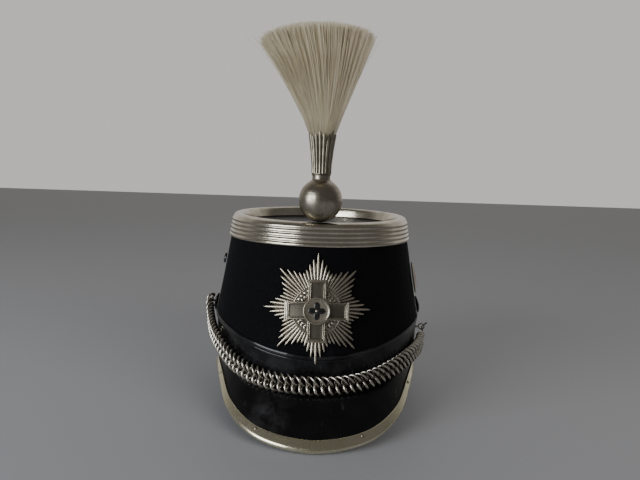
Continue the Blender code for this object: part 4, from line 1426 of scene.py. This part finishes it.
def flower():
    level = ROUNDEL_BACK + ROUNDEL_THICKNESS - ROUNDEL_SINK + PETAL_HEIGHT * PETAL_LIFT_SHARE
    petals = []
    for number in range(PETALS):
        clear_selection()
        bpy.ops.mesh.primitive_uv_sphere_add(segments=24, ring_count=12, radius=1.0)
        piece = take("petal")
        for vertex in piece.data.vertices:
            waist = mix(PETAL_WAIST, 1.0, math.sin(math.pi / 2 * min(1.0, vertex.co.y + 1.0)))
            groove = GROOVE_DEPTH * math.exp(-((vertex.co.x / GROOVE_WIDTH) ** 2))
            vertex.co.x *= PETAL_WIDTH * waist
            vertex.co.y *= PETAL_LENGTH
            vertex.co.z *= PETAL_HEIGHT * (1 - groove)
        turn = Matrix.Rotation(math.tau * number / PETALS, 4, "Z")
        piece.data.transform(turn @ Matrix.Translation((0, PETAL_LENGTH * PETAL_PLACE_SHARE, level)))
        petals.append(piece)
    whole = join("flower", petals)
    put_on_crown(whole, flat_point)
    complete(whole, 60, LACQUER, "lacquer", "badge_flower")
    clear_selection()
    bpy.ops.mesh.primitive_uv_sphere_add(segments=24, ring_count=12, radius=EYE_RADIUS)
    eye = take("flower_eye")
    lifted = Matrix.Translation((0, 0, level + EYE_LIFT))
    eye.data.transform(lifted @ Matrix.Diagonal((1, 1, EYE_HEIGHT_SHARE, 1)))
    put_on_crown(eye, flat_point)
    complete(eye, 60, BADGE_METAL, "nickel")


flower()


# %% [markdown]
# ## Ball and socket
# The plume stands in a fluted cup on a ball. Both are turned pieces, so their sections are spun round the
# plume's own axis. The ball is pressed in two halves: the seam is a small groove in its section.

# %% Turned pieces
def turned(name, profile, centre, steps, place=None):
    """A solid of (radius, height) pairs from its foot to its top, spun round an upright axis."""
    corners = [Corner(0.0, profile[0][1]), *[Corner(*pair) for pair in profile], Corner(0.0, profile[-1][1])]
    piece = spun(name, corners, steps, radius=0.0)

    def upright(turn, radius, height):
        return centre + Vector((radius * math.cos(turn), radius * math.sin(turn), height))

    return fitted(piece, place or upright, radius=0.0)


# %% Ball and its post
NECK_RADIUS = 0.0066
NECK_COVE = 0.0012
NECK_RING_RADIUS = 0.0072
NECK_RING_HEIGHT = 0.0010
NECK_TOP = 0.1836
SEAM_ABOVE_CENTRE = 0.0048
SEAM_DEPTH = 0.00022
SEAM_WIDTH = 0.00022
BALL_ROWS = 60
BALL_STEPS = 96
BALL_FOOT_ANGLE = math.pi * 0.995
COVE_ROWS = 6
COVE_STEEPNESS = 1.6
RING_ROWS = 8
POST_RADIUS = 0.0020
POST_BEVEL = 0.0002
POST_FOOT = Vector((0.0, -0.0530, 0.1424 + GAP))
POST_TOP = BALL_CENTRE.z - BALL_RADIUS / 2


def plume_ball():
    start = math.asin((NECK_RADIUS + NECK_COVE) / BALL_RADIUS)
    profile = []
    for row in range(BALL_ROWS + 1):
        angle = mix(BALL_FOOT_ANGLE, start, row / BALL_ROWS)
        height = BALL_RADIUS * math.cos(angle)
        seam = SEAM_DEPTH * math.exp(-(((height - SEAM_ABOVE_CENTRE) / SEAM_WIDTH) ** 2))
        profile.append((BALL_RADIUS * math.sin(angle) - seam, BALL_CENTRE.z + height))
    foot = profile[-1][1]
    for step in range(1, COVE_ROWS + 1):
        share = step / COVE_ROWS
        radius = NECK_RADIUS + NECK_COVE * (1 - share) ** 2
        profile.append((radius, foot + NECK_COVE * COVE_STEEPNESS * share))
    profile.append((NECK_RADIUS, NECK_TOP - NECK_RING_HEIGHT))
    for step in range(1, RING_ROWS + 1):
        share = step / RING_ROWS
        swell = (NECK_RING_RADIUS - NECK_RADIUS) * math.sin(math.pi * share)
        profile.append((NECK_RADIUS + swell, NECK_TOP - NECK_RING_HEIGHT * (1 - share)))
    ball = turned("ball", profile, Vector((BALL_CENTRE.x, BALL_CENTRE.y, 0)), BALL_STEPS)
    complete(ball, 60, OLD_SILVER, "old_silver", "plume_ball")


def ball_post():
    """The plain hidden post that carries the ball."""
    length = POST_TOP - POST_FOOT.z
    clear_selection()
    bpy.ops.mesh.primitive_cylinder_add(
        vertices=24, radius=POST_RADIUS, depth=length, location=POST_FOOT + UP * length / 2
    )
    post = take("ball_post")
    bevelled(post, POST_BEVEL)
    complete(post, 40, OLD_SILVER, "old_silver")


plume_ball()
ball_post()

# %% [markdown]
# The socket is a cup of eighteen narrow leaves. Each leaf is a round rib with a sharp groove beside it, so
# the radius follows the size of a cosine. Every third leaf is taller, which makes six points round the edge.

# %% Socket
SOCKET_RIBS = 18
SOCKET_POINTS = 6
SOCKET_TURN = math.radians(-10)
SOCKET_TIP_HEIGHT = 0.2162
SOCKET_EDGE = 0.2066
SOCKET_WALL = 0.0008
SOCKET_STEPS = 288
SOCKET_FLUTE = 0.11
FLUTE_ROUNDNESS = 0.7
FLUTE_MEAN = 0.72
EDGE_POINT_SHARE = 0.60
EDGE_ROUNDNESS = 1.4
SOCKET_FLOOR_INSET = -0.0045
SOCKET_ROWS = 24
SOCKET_PROFILE = (
    Corner(0.0070, 0.1839),
    Corner(0.0072, 0.1905),
    Corner(0.0083, 0.2010),
    Corner(0.0094, 0.2088),
    Corner(0.0102, 0.2150),
)
COLLAR_RADIUS = 0.0067
COLLAR_WIRE = 0.0004
COLLAR_HEIGHT = 0.1840


def socket_radius(height):
    """The cup's radius without its flutes."""
    for low, high in zip(SOCKET_PROFILE, SOCKET_PROFILE[1:]):
        if height <= high.rise or high is SOCKET_PROFILE[-1]:
            return mix(low.offset, high.offset, (height - low.rise) / (high.rise - low.rise))


def socket_point(turn, inset, rise):
    """Rise is a share of the leaf's height. A negative inset lies inside the cup's wall."""
    angle = hat_angle(turn) - SOCKET_TURN
    rib = abs(math.cos(SOCKET_RIBS / 2 * angle))
    point = 0.5 + 0.5 * math.cos(SOCKET_POINTS * angle)
    edge_share = EDGE_POINT_SHARE * point + (1 - EDGE_POINT_SHARE) * rib**EDGE_ROUNDNESS
    edge = mix(SOCKET_EDGE, SOCKET_TIP_HEIGHT, edge_share)
    height = mix(SOCKET_PROFILE[0].rise, edge, rise)
    radius = socket_radius(height) * (1 + SOCKET_FLUTE * (rib**FLUTE_ROUNDNESS - FLUTE_MEAN)) + inset
    return Vector((radius * math.cos(turn), BALL_CENTRE.y + radius * math.sin(turn), height))


def plume_socket():
    rows = [row / SOCKET_ROWS for row in range(SOCKET_ROWS + 1)]
    corners = [Corner(0.0, rise) for rise in rows]
    corners += [Corner(-SOCKET_WALL, rise) for rise in reversed(rows[SOCKET_ROWS // 2 :])]
    corners += [Corner(SOCKET_FLOOR_INSET, 0.5), Corner(SOCKET_FLOOR_INSET, 0.0)]
    cup = fitted(spun("socket", corners, SOCKET_STEPS), socket_point)
    complete(cup, 50, SOCKET_METAL, "old_silver", "plume_socket")
    clear_selection()
    bpy.ops.mesh.primitive_torus_add(
        major_radius=COLLAR_RADIUS,
        minor_radius=COLLAR_WIRE,
        major_segments=72,
        minor_segments=12,
        location=(0, BALL_CENTRE.y, COLLAR_HEIGHT),
    )
    complete(take("socket_collar"), 60, OLD_SILVER, "old_silver")


plume_socket()

# %% [markdown]
# ## The plume
# The plume is a brush of horsehair, tied at its foot and trimmed to a dome. Hair particles could grow it,
# but the hat needs real meshes, so each strand is a thin prism with three sides. Numpy works out all
# strands at once, from a few random numbers per strand with a fixed seed, and a solid core behind them
# stops the light. A few strays stand off from the rest, as they do on a brush that has been worn.

# %% Strands of horsehair
PLUME_BASE_HEIGHT = 0.2062
PLUME_BASE_RADIUS = 0.0078
PLUME_TOP_HEIGHT = 0.2872
PLUME_TOP_RADIUS = 0.0400
PLUME_LEAN = -0.0062
PLUME_DOME = 0.0085
PLUME_DOME_TILT = 0.30
PLUME_FLARE = 1.12
PLUME_CROWDING = 0.40
PLUME_FOOT_SHARE = 0.94
CLUMP_SPREAD = 0.012
CLUMP_SHADE = 0.14
STRAND_SHADE = 0.16
STRAND_TRIM = 0.10
STRAND_UNEVEN = 0.006
STRAND_WANDER = 0.0011
STRAY_SHARE = 0.012
STRAY_WANDER = 5.0
STRAND_SEGMENTS = 4
STRAND_WIDTH = 0.00024
STRAND_TIP_SHARE = 0.55
STRANDS_A_PIECE = 7300
PLUME_PIECES = 3
PLUME_SEED = 7


def strand_lines(chance, count):
    """Centre lines of the strands, as count x rows x 3, with a shade for each strand."""
    turn = chance.uniform(0, math.tau, count)
    spread = chance.uniform(0, 1, count) ** PLUME_CROWDING
    trimmed = chance.uniform(0, 1, count) ** 3 * STRAND_TRIM
    length = 1 - trimmed + chance.normal(0, STRAND_UNEVEN, count)
    clump = np.sin(turn * 17 + 1.3 * np.sin(turn * 5)) * 0.5 + np.sin(turn * 31) * 0.3
    stray = chance.uniform(0, 1, (count, 1)) < STRAY_SHARE
    wander = chance.normal(0, 1, (count, 2)) * STRAND_WANDER * (1 + STRAY_WANDER * stray)
    rows = np.linspace(0, 1, STRAND_SEGMENTS + 1)
    share = rows[None, :] * length[:, None]
    foot = PLUME_BASE_RADIUS * spread * PLUME_FOOT_SHARE
    tip = PLUME_TOP_RADIUS * spread * (1 + CLUMP_SPREAD * clump)
    radius = foot[:, None] + (tip - foot)[:, None] * share**PLUME_FLARE
    x = radius * np.sin(turn)[:, None] + wander[:, :1] * rows**2 + PLUME_LEAN * share**2
    y = BALL_CENTRE.y - radius * np.cos(turn)[:, None] + wander[:, 1:] * rows**2
    fall = PLUME_DOME * spread**2 * (1 - PLUME_DOME_TILT * np.sin(turn))
    top = PLUME_TOP_HEIGHT - fall
    z = PLUME_BASE_HEIGHT + (top - PLUME_BASE_HEIGHT)[:, None] * share
    shade = 0.5 + CLUMP_SHADE * clump + chance.normal(0, STRAND_SHADE, count)
    return np.stack([x, y, z], axis=2), np.clip(shade, 0, 1)


# %% Strands as one mesh
def strand_mesh(name, lines, shades, width):
    """A prism with three sides along every line, all in one mesh."""
    count, rows, _ = lines.shape
    turns = np.arange(3) * math.tau / 3
    around = np.stack([np.cos(turns), np.sin(turns), np.zeros(3)], axis=1)
    taper = np.linspace(1.0, STRAND_TIP_SHARE, rows)[None, :, None, None]
    points = lines[:, :, None, :] + around[None, None] * width * taper
    corner = np.arange(count * rows * 3).reshape(count, rows, 3)
    low, high = corner[:, :-1], corner[:, 1:]
    sides = np.stack([low, np.roll(low, -1, axis=2), np.roll(high, -1, axis=2), high], axis=-1)
    quads = sides.reshape(-1, 4)
    caps = np.concatenate([corner[:, 0, ::-1], corner[:, -1]])
    mesh = bpy.data.meshes.new(name)
    mesh.from_pydata(points.reshape(-1, 3).tolist(), [], quads.tolist() + caps.tolist())
    shade = mesh.attributes.new("shade", "FLOAT", "POINT")
    shade.data.foreach_set("value", np.repeat(shades, rows * 3).astype(np.float32))
    height = mesh.attributes.new("along", "FLOAT", "POINT")
    along = np.tile(np.repeat(np.linspace(0, 1, rows), 3), count)
    height.data.foreach_set("value", along.astype(np.float32))
    mesh.shade_smooth()
    piece = bpy.data.objects.new(name, mesh)
    bpy.context.scene.collection.objects.link(piece)
    return piece


# %% [markdown]
# Undyed horsehair is a warm grey white, yellower near its foot. Each strand carries its own shade, and a
# little light goes through the hair, which the shader's subsurface setting stands for.

# %% Horsehair finish
def horsehair_finish():
    hair = Finish("horsehair")
    shade = hair.attribute("shade")
    along = hair.attribute("along")
    streak = hair.noise(500, detail=3, place=hair.stretched((1.0, 1.0, 0.05)))
    tone = hair.maths("ADD", hair.maths("MULTIPLY", shade, 0.75), hair.maths("MULTIPLY", streak, 0.25))
    colour = hair.blend(tone, (0.64, 0.54, 0.33), (0.93, 0.83, 0.60))
    warm = hair.blend(hair.span(along, 0.0, 0.5, 0.40, 0.0), colour, (0.60, 0.51, 0.31))
    hair.shader.inputs["Subsurface Weight"].default_value = 0.5
    hair.shader.inputs["Subsurface Radius"].default_value = (1.0, 0.9, 0.6)
    hair.shader.inputs["Subsurface Scale"].default_value = 0.012
    hair.shader.inputs["Specular IOR Level"].default_value = 0.30
    return hair.wear(Base_Color=warm, Roughness=hair.span(streak, 0.3, 0.7, 0.38, 0.55))


HORSEHAIR = horsehair_finish()
print("finish:", HORSEHAIR.name)

# %% Plume
CORE_SHARE = 0.78
CORE_FOOT_SHARE = 0.93
CORE_DROP = 0.0035
CORE_DOME = 0.055
CORE_ROWS = 20
CORE_DOME_ROWS = 8
CORE_STEPS = 96


def plume_core():
    """A solid of packed hair inside the brush, a little smaller than it."""
    foot_radius = PLUME_BASE_RADIUS * CORE_FOOT_SHARE
    top_radius = PLUME_TOP_RADIUS * CORE_SHARE
    profile = []
    for row in range(CORE_ROWS + 1):
        share = row / CORE_ROWS
        profile.append((mix(foot_radius, top_radius, share**PLUME_FLARE), share))
    for row in range(1, CORE_DOME_ROWS + 1):
        inward = 1 - row / (CORE_DOME_ROWS + 0.5)
        profile.append((top_radius * inward, 1.0 + CORE_DOME * (1 - inward**2)))

    def place(turn, radius, share):
        x = radius * math.cos(turn) + PLUME_LEAN * share * share
        height = mix(PLUME_BASE_HEIGHT, PLUME_TOP_HEIGHT - PLUME_DOME - CORE_DROP, share)
        return Vector((x, BALL_CENTRE.y + radius * math.sin(turn), height))

    core = turned("plume_core", profile, Vector((0, 0, 0)), CORE_STEPS, place)
    for name, value in (("shade", 0.55), ("along", 0.8)):
        made = core.data.attributes.new(name, "FLOAT", "POINT")
        made.data.foreach_set("value", [value] * len(core.data.vertices))
    complete(core, 60, HORSEHAIR, "horsehair", "plume")


plume_core()
chance = np.random.default_rng(PLUME_SEED)
for number in range(1, PLUME_PIECES + 1):
    strands = strand_mesh(f"plume_hair_{number}", *strand_lines(chance, STRANDS_A_PIECE), STRAND_WIDTH)
    dress(strands, HORSEHAIR, "horsehair", "plume")

# %% [markdown]
# ## The chain
# The links are rings bent so that they lie side by side: each one starts as a torus, is drawn out to an
# oval, and its two ends are turned opposite ways by moving its points. One link is modelled and copied to
# evenly spaced places along the chain's route, which is a smooth curve through a table of heights.

# %% Chain's route
Stop = namedtuple("Stop", "angle height standoff")
CHAIN_STANDOFF = 0.0043
CHAIN_ROUTE = (
    Stop(-90, 0.0704, 0.0082),
    Stop(-84, 0.0605, 0.0066),
    Stop(-76, 0.0560, 0.0050),
    Stop(-66, 0.0522, CHAIN_STANDOFF),
    Stop(-55, 0.0475, CHAIN_STANDOFF),
    Stop(-42, 0.0409, CHAIN_STANDOFF),
    Stop(-28, 0.0367, CHAIN_STANDOFF),
    Stop(-14, 0.0353, CHAIN_STANDOFF),
    Stop(0, 0.0350, CHAIN_STANDOFF),
    Stop(14, 0.0354, CHAIN_STANDOFF),
    Stop(28, 0.0379, CHAIN_STANDOFF),
    Stop(42, 0.0422, CHAIN_STANDOFF),
    Stop(56, 0.0455, CHAIN_STANDOFF),
    Stop(68, 0.0465, 0.0045),
    Stop(80, 0.0478, 0.0050),
)
LINK_PITCH = 0.0052
CHAIN_START = 0.0008
ROUTE_STEPS = 600


def chain_points():
    """Evenly spaced places along the route, one for each link."""
    route = []
    for step in range(ROUTE_STEPS + 1):
        degrees = mix(CHAIN_ROUTE[0].angle, CHAIN_ROUTE[-1].angle, step / ROUTE_STEPS)
        height = smooth_value(CHAIN_ROUTE, "height", degrees)
        standoff = smooth_value(CHAIN_ROUTE, "standoff", degrees)
        route.append(side_point(math.radians(degrees), height, standoff))
    points = []
    travelled = 0.0
    for start, end in zip(route, route[1:]):
        length = (end - start).length
        wanted = CHAIN_START + LINK_PITCH * len(points)
        if travelled + length >= wanted:
            points.append(start.lerp(end, (wanted - travelled) / length))
        travelled += length
    return points


links_at = chain_points()
print("places for links:", len(links_at))


# %% Frame of one link
def link_frame(points, index):
    """x along the chain, y up the hat's side and z away from it."""
    before = points[max(index - 1, 0)]
    after = points[min(index + 1, len(points) - 1)]
    along = (after - before).normalized()
    centre = points[index]
    angle = math.atan2(centre.x / RIM_HALF_WIDTH, (OVAL_CENTRE_Y - centre.y) / RIM_HALF_LENGTH)
    outward = oval_normal(RIM_HALF_WIDTH, RIM_HALF_LENGTH, angle)
    outward = (outward - along * outward.dot(along)).normalized()
    upward = outward.cross(along)
    turn = Matrix((along, upward, outward)).transposed()
    return Matrix.Translation(centre) @ turn.to_4x4()


# %% Chain
LINK_HALF_LENGTH = 0.0038
LINK_HALF_HEIGHT = 0.0060
LINK_WIRE_RADIUS = 0.00117
LINK_TWIST = math.radians(46)
LINK_SQUARENESS = 0.92
LINK_SHEAR = 0.0016


def chain_link():
    """An oval ring whose two ends are turned opposite ways, and whose top leans back along the chain."""
    clear_selection()
    bpy.ops.mesh.primitive_torus_add(
        major_radius=1.0,
        minor_radius=LINK_WIRE_RADIUS,
        major_segments=36,
        minor_segments=10,
    )
    link = take("link")
    for vertex in link.data.vertices:
        centre = Vector((vertex.co.x, vertex.co.y, 0)).normalized()
        wire = vertex.co - centre
        across = math.copysign(abs(centre.x) ** LINK_SQUARENESS, centre.x) * LINK_HALF_LENGTH
        height = math.copysign(abs(centre.y) ** LINK_SQUARENESS, centre.y) * LINK_HALF_HEIGHT
        turn = Matrix.Rotation(LINK_TWIST * centre.x, 3, "X")
        vertex.co = turn @ Vector((across + wire.x, height + wire.y, wire.z))
        vertex.co.x -= LINK_SHEAR * max(0.0, vertex.co.y) / LINK_HALF_HEIGHT
    return link


def chin_chain(points):
    model = chain_link()
    links = [copy_of(model, link_frame(points, index)) for index in range(len(points))]
    bpy.data.objects.remove(model)
    chain = join("chain", links)
    clean(chain, distance=1e-7)
    complete(chain, 60, CHAIN_METAL, "old_silver", "chin_chain")


chin_chain(links_at)

# %% [markdown]
# ## Fittings at the sides
# There is a black boss over each ear, and the chain hangs from a peg in one of them. The bosses, the small
# vent and the cockade are turned pieces that stand square on the curved side, so each is spun round z and
# then carried to its place.

# %% Discs on the hat's side
Spot = namedtuple("Spot", "angle height")
LEFT_BOSS = Spot(-90, 0.0692)
RIGHT_BOSS = Spot(90, 0.0723)
VENT = Spot(-82, 0.1105)
COCKADE = Spot(82, 0.0985)
BOSS_STANDOFF = 0.0018
DISC_STANDOFF = 0.0006


def surface_place(spot, reach, standoff):
    """A matrix whose z is square to the hat's side at a spot."""
    angle = math.radians(spot.angle)
    centre = side_point(angle, spot.height, standoff)
    above = side_point(angle, spot.height + reach / 2, standoff)
    below = side_point(angle, spot.height - reach / 2, standoff)
    upward = (above - below).normalized()
    outward = oval_normal(RIM_HALF_WIDTH, RIM_HALF_LENGTH, angle)
    return standing(centre, (outward - upward * outward.dot(upward)).normalized())


def side_piece(name, profile, place, material, slot, *nodes, steps=64):
    piece = turned(name, profile, Vector((0, 0, 0)), steps)
    piece.data.transform(place)
    complete(piece, 40, material, slot, *nodes)


# %% Bosses and vent
BOSS_RADIUS = 0.0078
VENT_RADIUS = 0.0046
BOSS_PROFILE = (
    (0.0066, 0.0), (0.0076, 0.0003), (BOSS_RADIUS, 0.0009), (0.0074, 0.0013), (0.0064, 0.0014),
    (0.0060, 0.0017), (0.0050, 0.0022), (0.0034, 0.0025), (0.0016, 0.0026),
)
PEG_PROFILE = (
    (0.0010, 0.0013), (0.0010, 0.0080), (0.0013, 0.0081),
    (0.0014, 0.0084), (0.0012, 0.0088), (0.0006, 0.0090),
)
VENT_PROFILE = (
    (0.0042, 0.0), (VENT_RADIUS, 0.0005), (0.0045, 0.0012), (0.0039, 0.0018), (0.0032, 0.0019),
    (0.0028, 0.0015), (0.0022, 0.0013), (0.0015, 0.0018), (0.0006, 0.0021),
)
left_place = surface_place(LEFT_BOSS, BOSS_RADIUS, BOSS_STANDOFF)
right_place = surface_place(RIGHT_BOSS, BOSS_RADIUS, BOSS_STANDOFF)
vent_place = surface_place(VENT, VENT_RADIUS, DISC_STANDOFF)
side_piece("boss_left", BOSS_PROFILE, left_place, LACQUER, "lacquer", "side_boss_left")
side_piece("boss_peg", PEG_PROFILE, left_place, OLD_SILVER, "old_silver", steps=32)
side_piece("boss_right", BOSS_PROFILE, right_place, LACQUER, "lacquer", "side_boss_right")
side_piece("vent", VENT_PROFILE, vent_place, LACQUER, "lacquer", "side_vent")

# %% [markdown]
# The cockade is a pleated ribbon: a pale ring round a red middle, held by a button. The pleats are a ripple
# in the height of the spun ring.

# %% Cockade
PLEATS = 40
PLEAT_RISE = 0.00030
PLEAT_RADIUS = 0.0090
PLEAT_FOOT = 0.0010
COCKADE_RADIUS = 0.0135
PALE_RING = (
    (0.0090, 0.0002), (0.0128, 0.0002), (COCKADE_RADIUS, 0.0008), (0.0132, 0.0014),
    (0.0118, 0.0017), (0.0100, 0.0018), (0.0092, 0.0016),
)
RED_DISC = (
    (0.0094, 0.0004), (0.0096, 0.0014), (0.0088, 0.0020),
    (0.0066, 0.0021), (0.0040, 0.0020), (0.0030, 0.0018),
)
BUTTON = ((0.0030, 0.0012), (0.0034, 0.0018), (0.0030, 0.0023), (0.0018, 0.0026), (0.0008, 0.0027))


def pleated(turn, radius, height):
    """Only the front of the ribbon is pleated, and less towards the middle."""
    deep = min(1.0, radius / PLEAT_RADIUS) if height > PLEAT_FOOT else 0.0
    ripple = PLEAT_RISE * math.cos(PLEATS * turn) * deep
    return Vector((radius * math.cos(turn), radius * math.sin(turn), height + ripple))


def cockade():
    place = surface_place(COCKADE, COCKADE_RADIUS, DISC_STANDOFF)
    rows = (("cockade_ring", PALE_RING, PALE_RIBBON), ("cockade_middle", RED_DISC, RED_RIBBON))
    for name, profile, material in rows:
        piece = turned(name, profile, Vector((0, 0, 0)), PLEATS * 8, pleated)
        piece.data.transform(place)
        complete(piece, 60, material, "cockade", "cockade")
    side_piece("cockade_button", BUTTON, place, OLD_SILVER, "old_silver", steps=32)


cockade()

# %% [markdown]
# Catch, ring and hook are bent wire. A curve with a round bevel is the natural way to draw wire, and it is
# made a mesh at the end, so that its place is in its points like that of every other piece.

# %% Bent wires
CATCH_WIRE = 0.00045
CATCH_ROUTE = (
    Spot(-57.0, 0.0608),
    Spot(-58.5, 0.0615),
    Spot(-60.0, 0.0606),
    Spot(-60.5, 0.0580),
    Spot(-60.3, 0.0500),
)
RING_CENTRE = Vector((0.0915, 0.0075, 0.0549))
RING_RADIUS = 0.0025
RING_WIRE = 0.0005
HOOK_WIRE = 0.0006
HOOK_IN_CHAIN = (
    Vector((0.0010, 0.0, -0.0018)),
    Vector((0.0010, 0.0, 0.0006)),
    Vector((0.0024, 0.0, 0.0024)),
    Vector((0.0046, 0.0008, 0.0026)),
)
HOOK_IN_RING = (
    Vector((0.0004, -0.0052, -0.0034)),
    Vector((0.0002, -0.0026, -0.0006)),
    Vector((0.0002, 0.0000, 0.0000)),
    Vector((0.0008, 0.0022, -0.0004)),
    Vector((0.0026, 0.0034, 0.0004)),
    Vector((0.0053, 0.0034, 0.0026)),
)


def wire(name, points, radius, material, slot, node):
    curve = bpy.data.curves.new(name, "CURVE")
    curve.dimensions = "3D"
    curve.bevel_depth = radius
    curve.bevel_resolution = 3
    curve.use_fill_caps = True
    curve.resolution_u = 8
    spline = curve.splines.new("NURBS")
    spline.points.add(len(points) - 1)
    spline.use_endpoint_u = True
    spline.order_u = 3
    for spot, point in zip(spline.points, points):
        spot.co = (*point, 1.0)
    piece = bpy.data.objects.new(name, curve)
    bpy.context.scene.collection.objects.link(piece)
    only(piece)
    bpy.ops.object.convert(target="MESH")
    piece = take(name)
    clean(piece)
    complete(piece, 50, material, slot, node)


standoff = CATCH_WIRE + 1.5 * GAP
catch_points = [side_point(math.radians(spot.angle), spot.height, standoff) for spot in CATCH_ROUTE]
wire("catch", catch_points, CATCH_WIRE, BAND_METAL, "nickel", "chain_catch")
last_link = link_frame(links_at, len(links_at) - 1)
hook_points = [last_link @ point for point in HOOK_IN_CHAIN]
hook_points += [RING_CENTRE + point for point in HOOK_IN_RING]
wire("hook", hook_points, HOOK_WIRE, LACQUER, "lacquer", "chain_hook")

# %% Ring and its post
RING_POST_FOOT = ((0.0011, 0.0), (0.0010, 0.0003))
RING_POST_RADIUS = 0.0008


def hook_ring():
    clear_selection()
    bpy.ops.mesh.primitive_torus_add(
        major_radius=RING_RADIUS,
        minor_radius=RING_WIRE,
        major_segments=48,
        minor_segments=12,
        rotation=(math.radians(90), 0, 0),
        location=RING_CENTRE,
    )
    ring = take("ring")
    angle = math.acos((OVAL_CENTRE_Y - RING_CENTRE.y) / BELLY_HALF_LENGTH)
    foot = side_point(angle, RING_CENTRE.z, GAP)
    head = RING_CENTRE - Vector((RING_RADIUS, 0, 0))
    post_profile = (*RING_POST_FOOT, (RING_POST_RADIUS, (head - foot).length))
    post = turned("post", post_profile, Vector((0, 0, 0)), 24)
    post.data.transform(standing(foot, head - foot))
    whole = join("hook_ring", [ring, post])
    complete(whole, 50, OLD_SILVER, "old_silver", "chain_ring")


hook_ring()
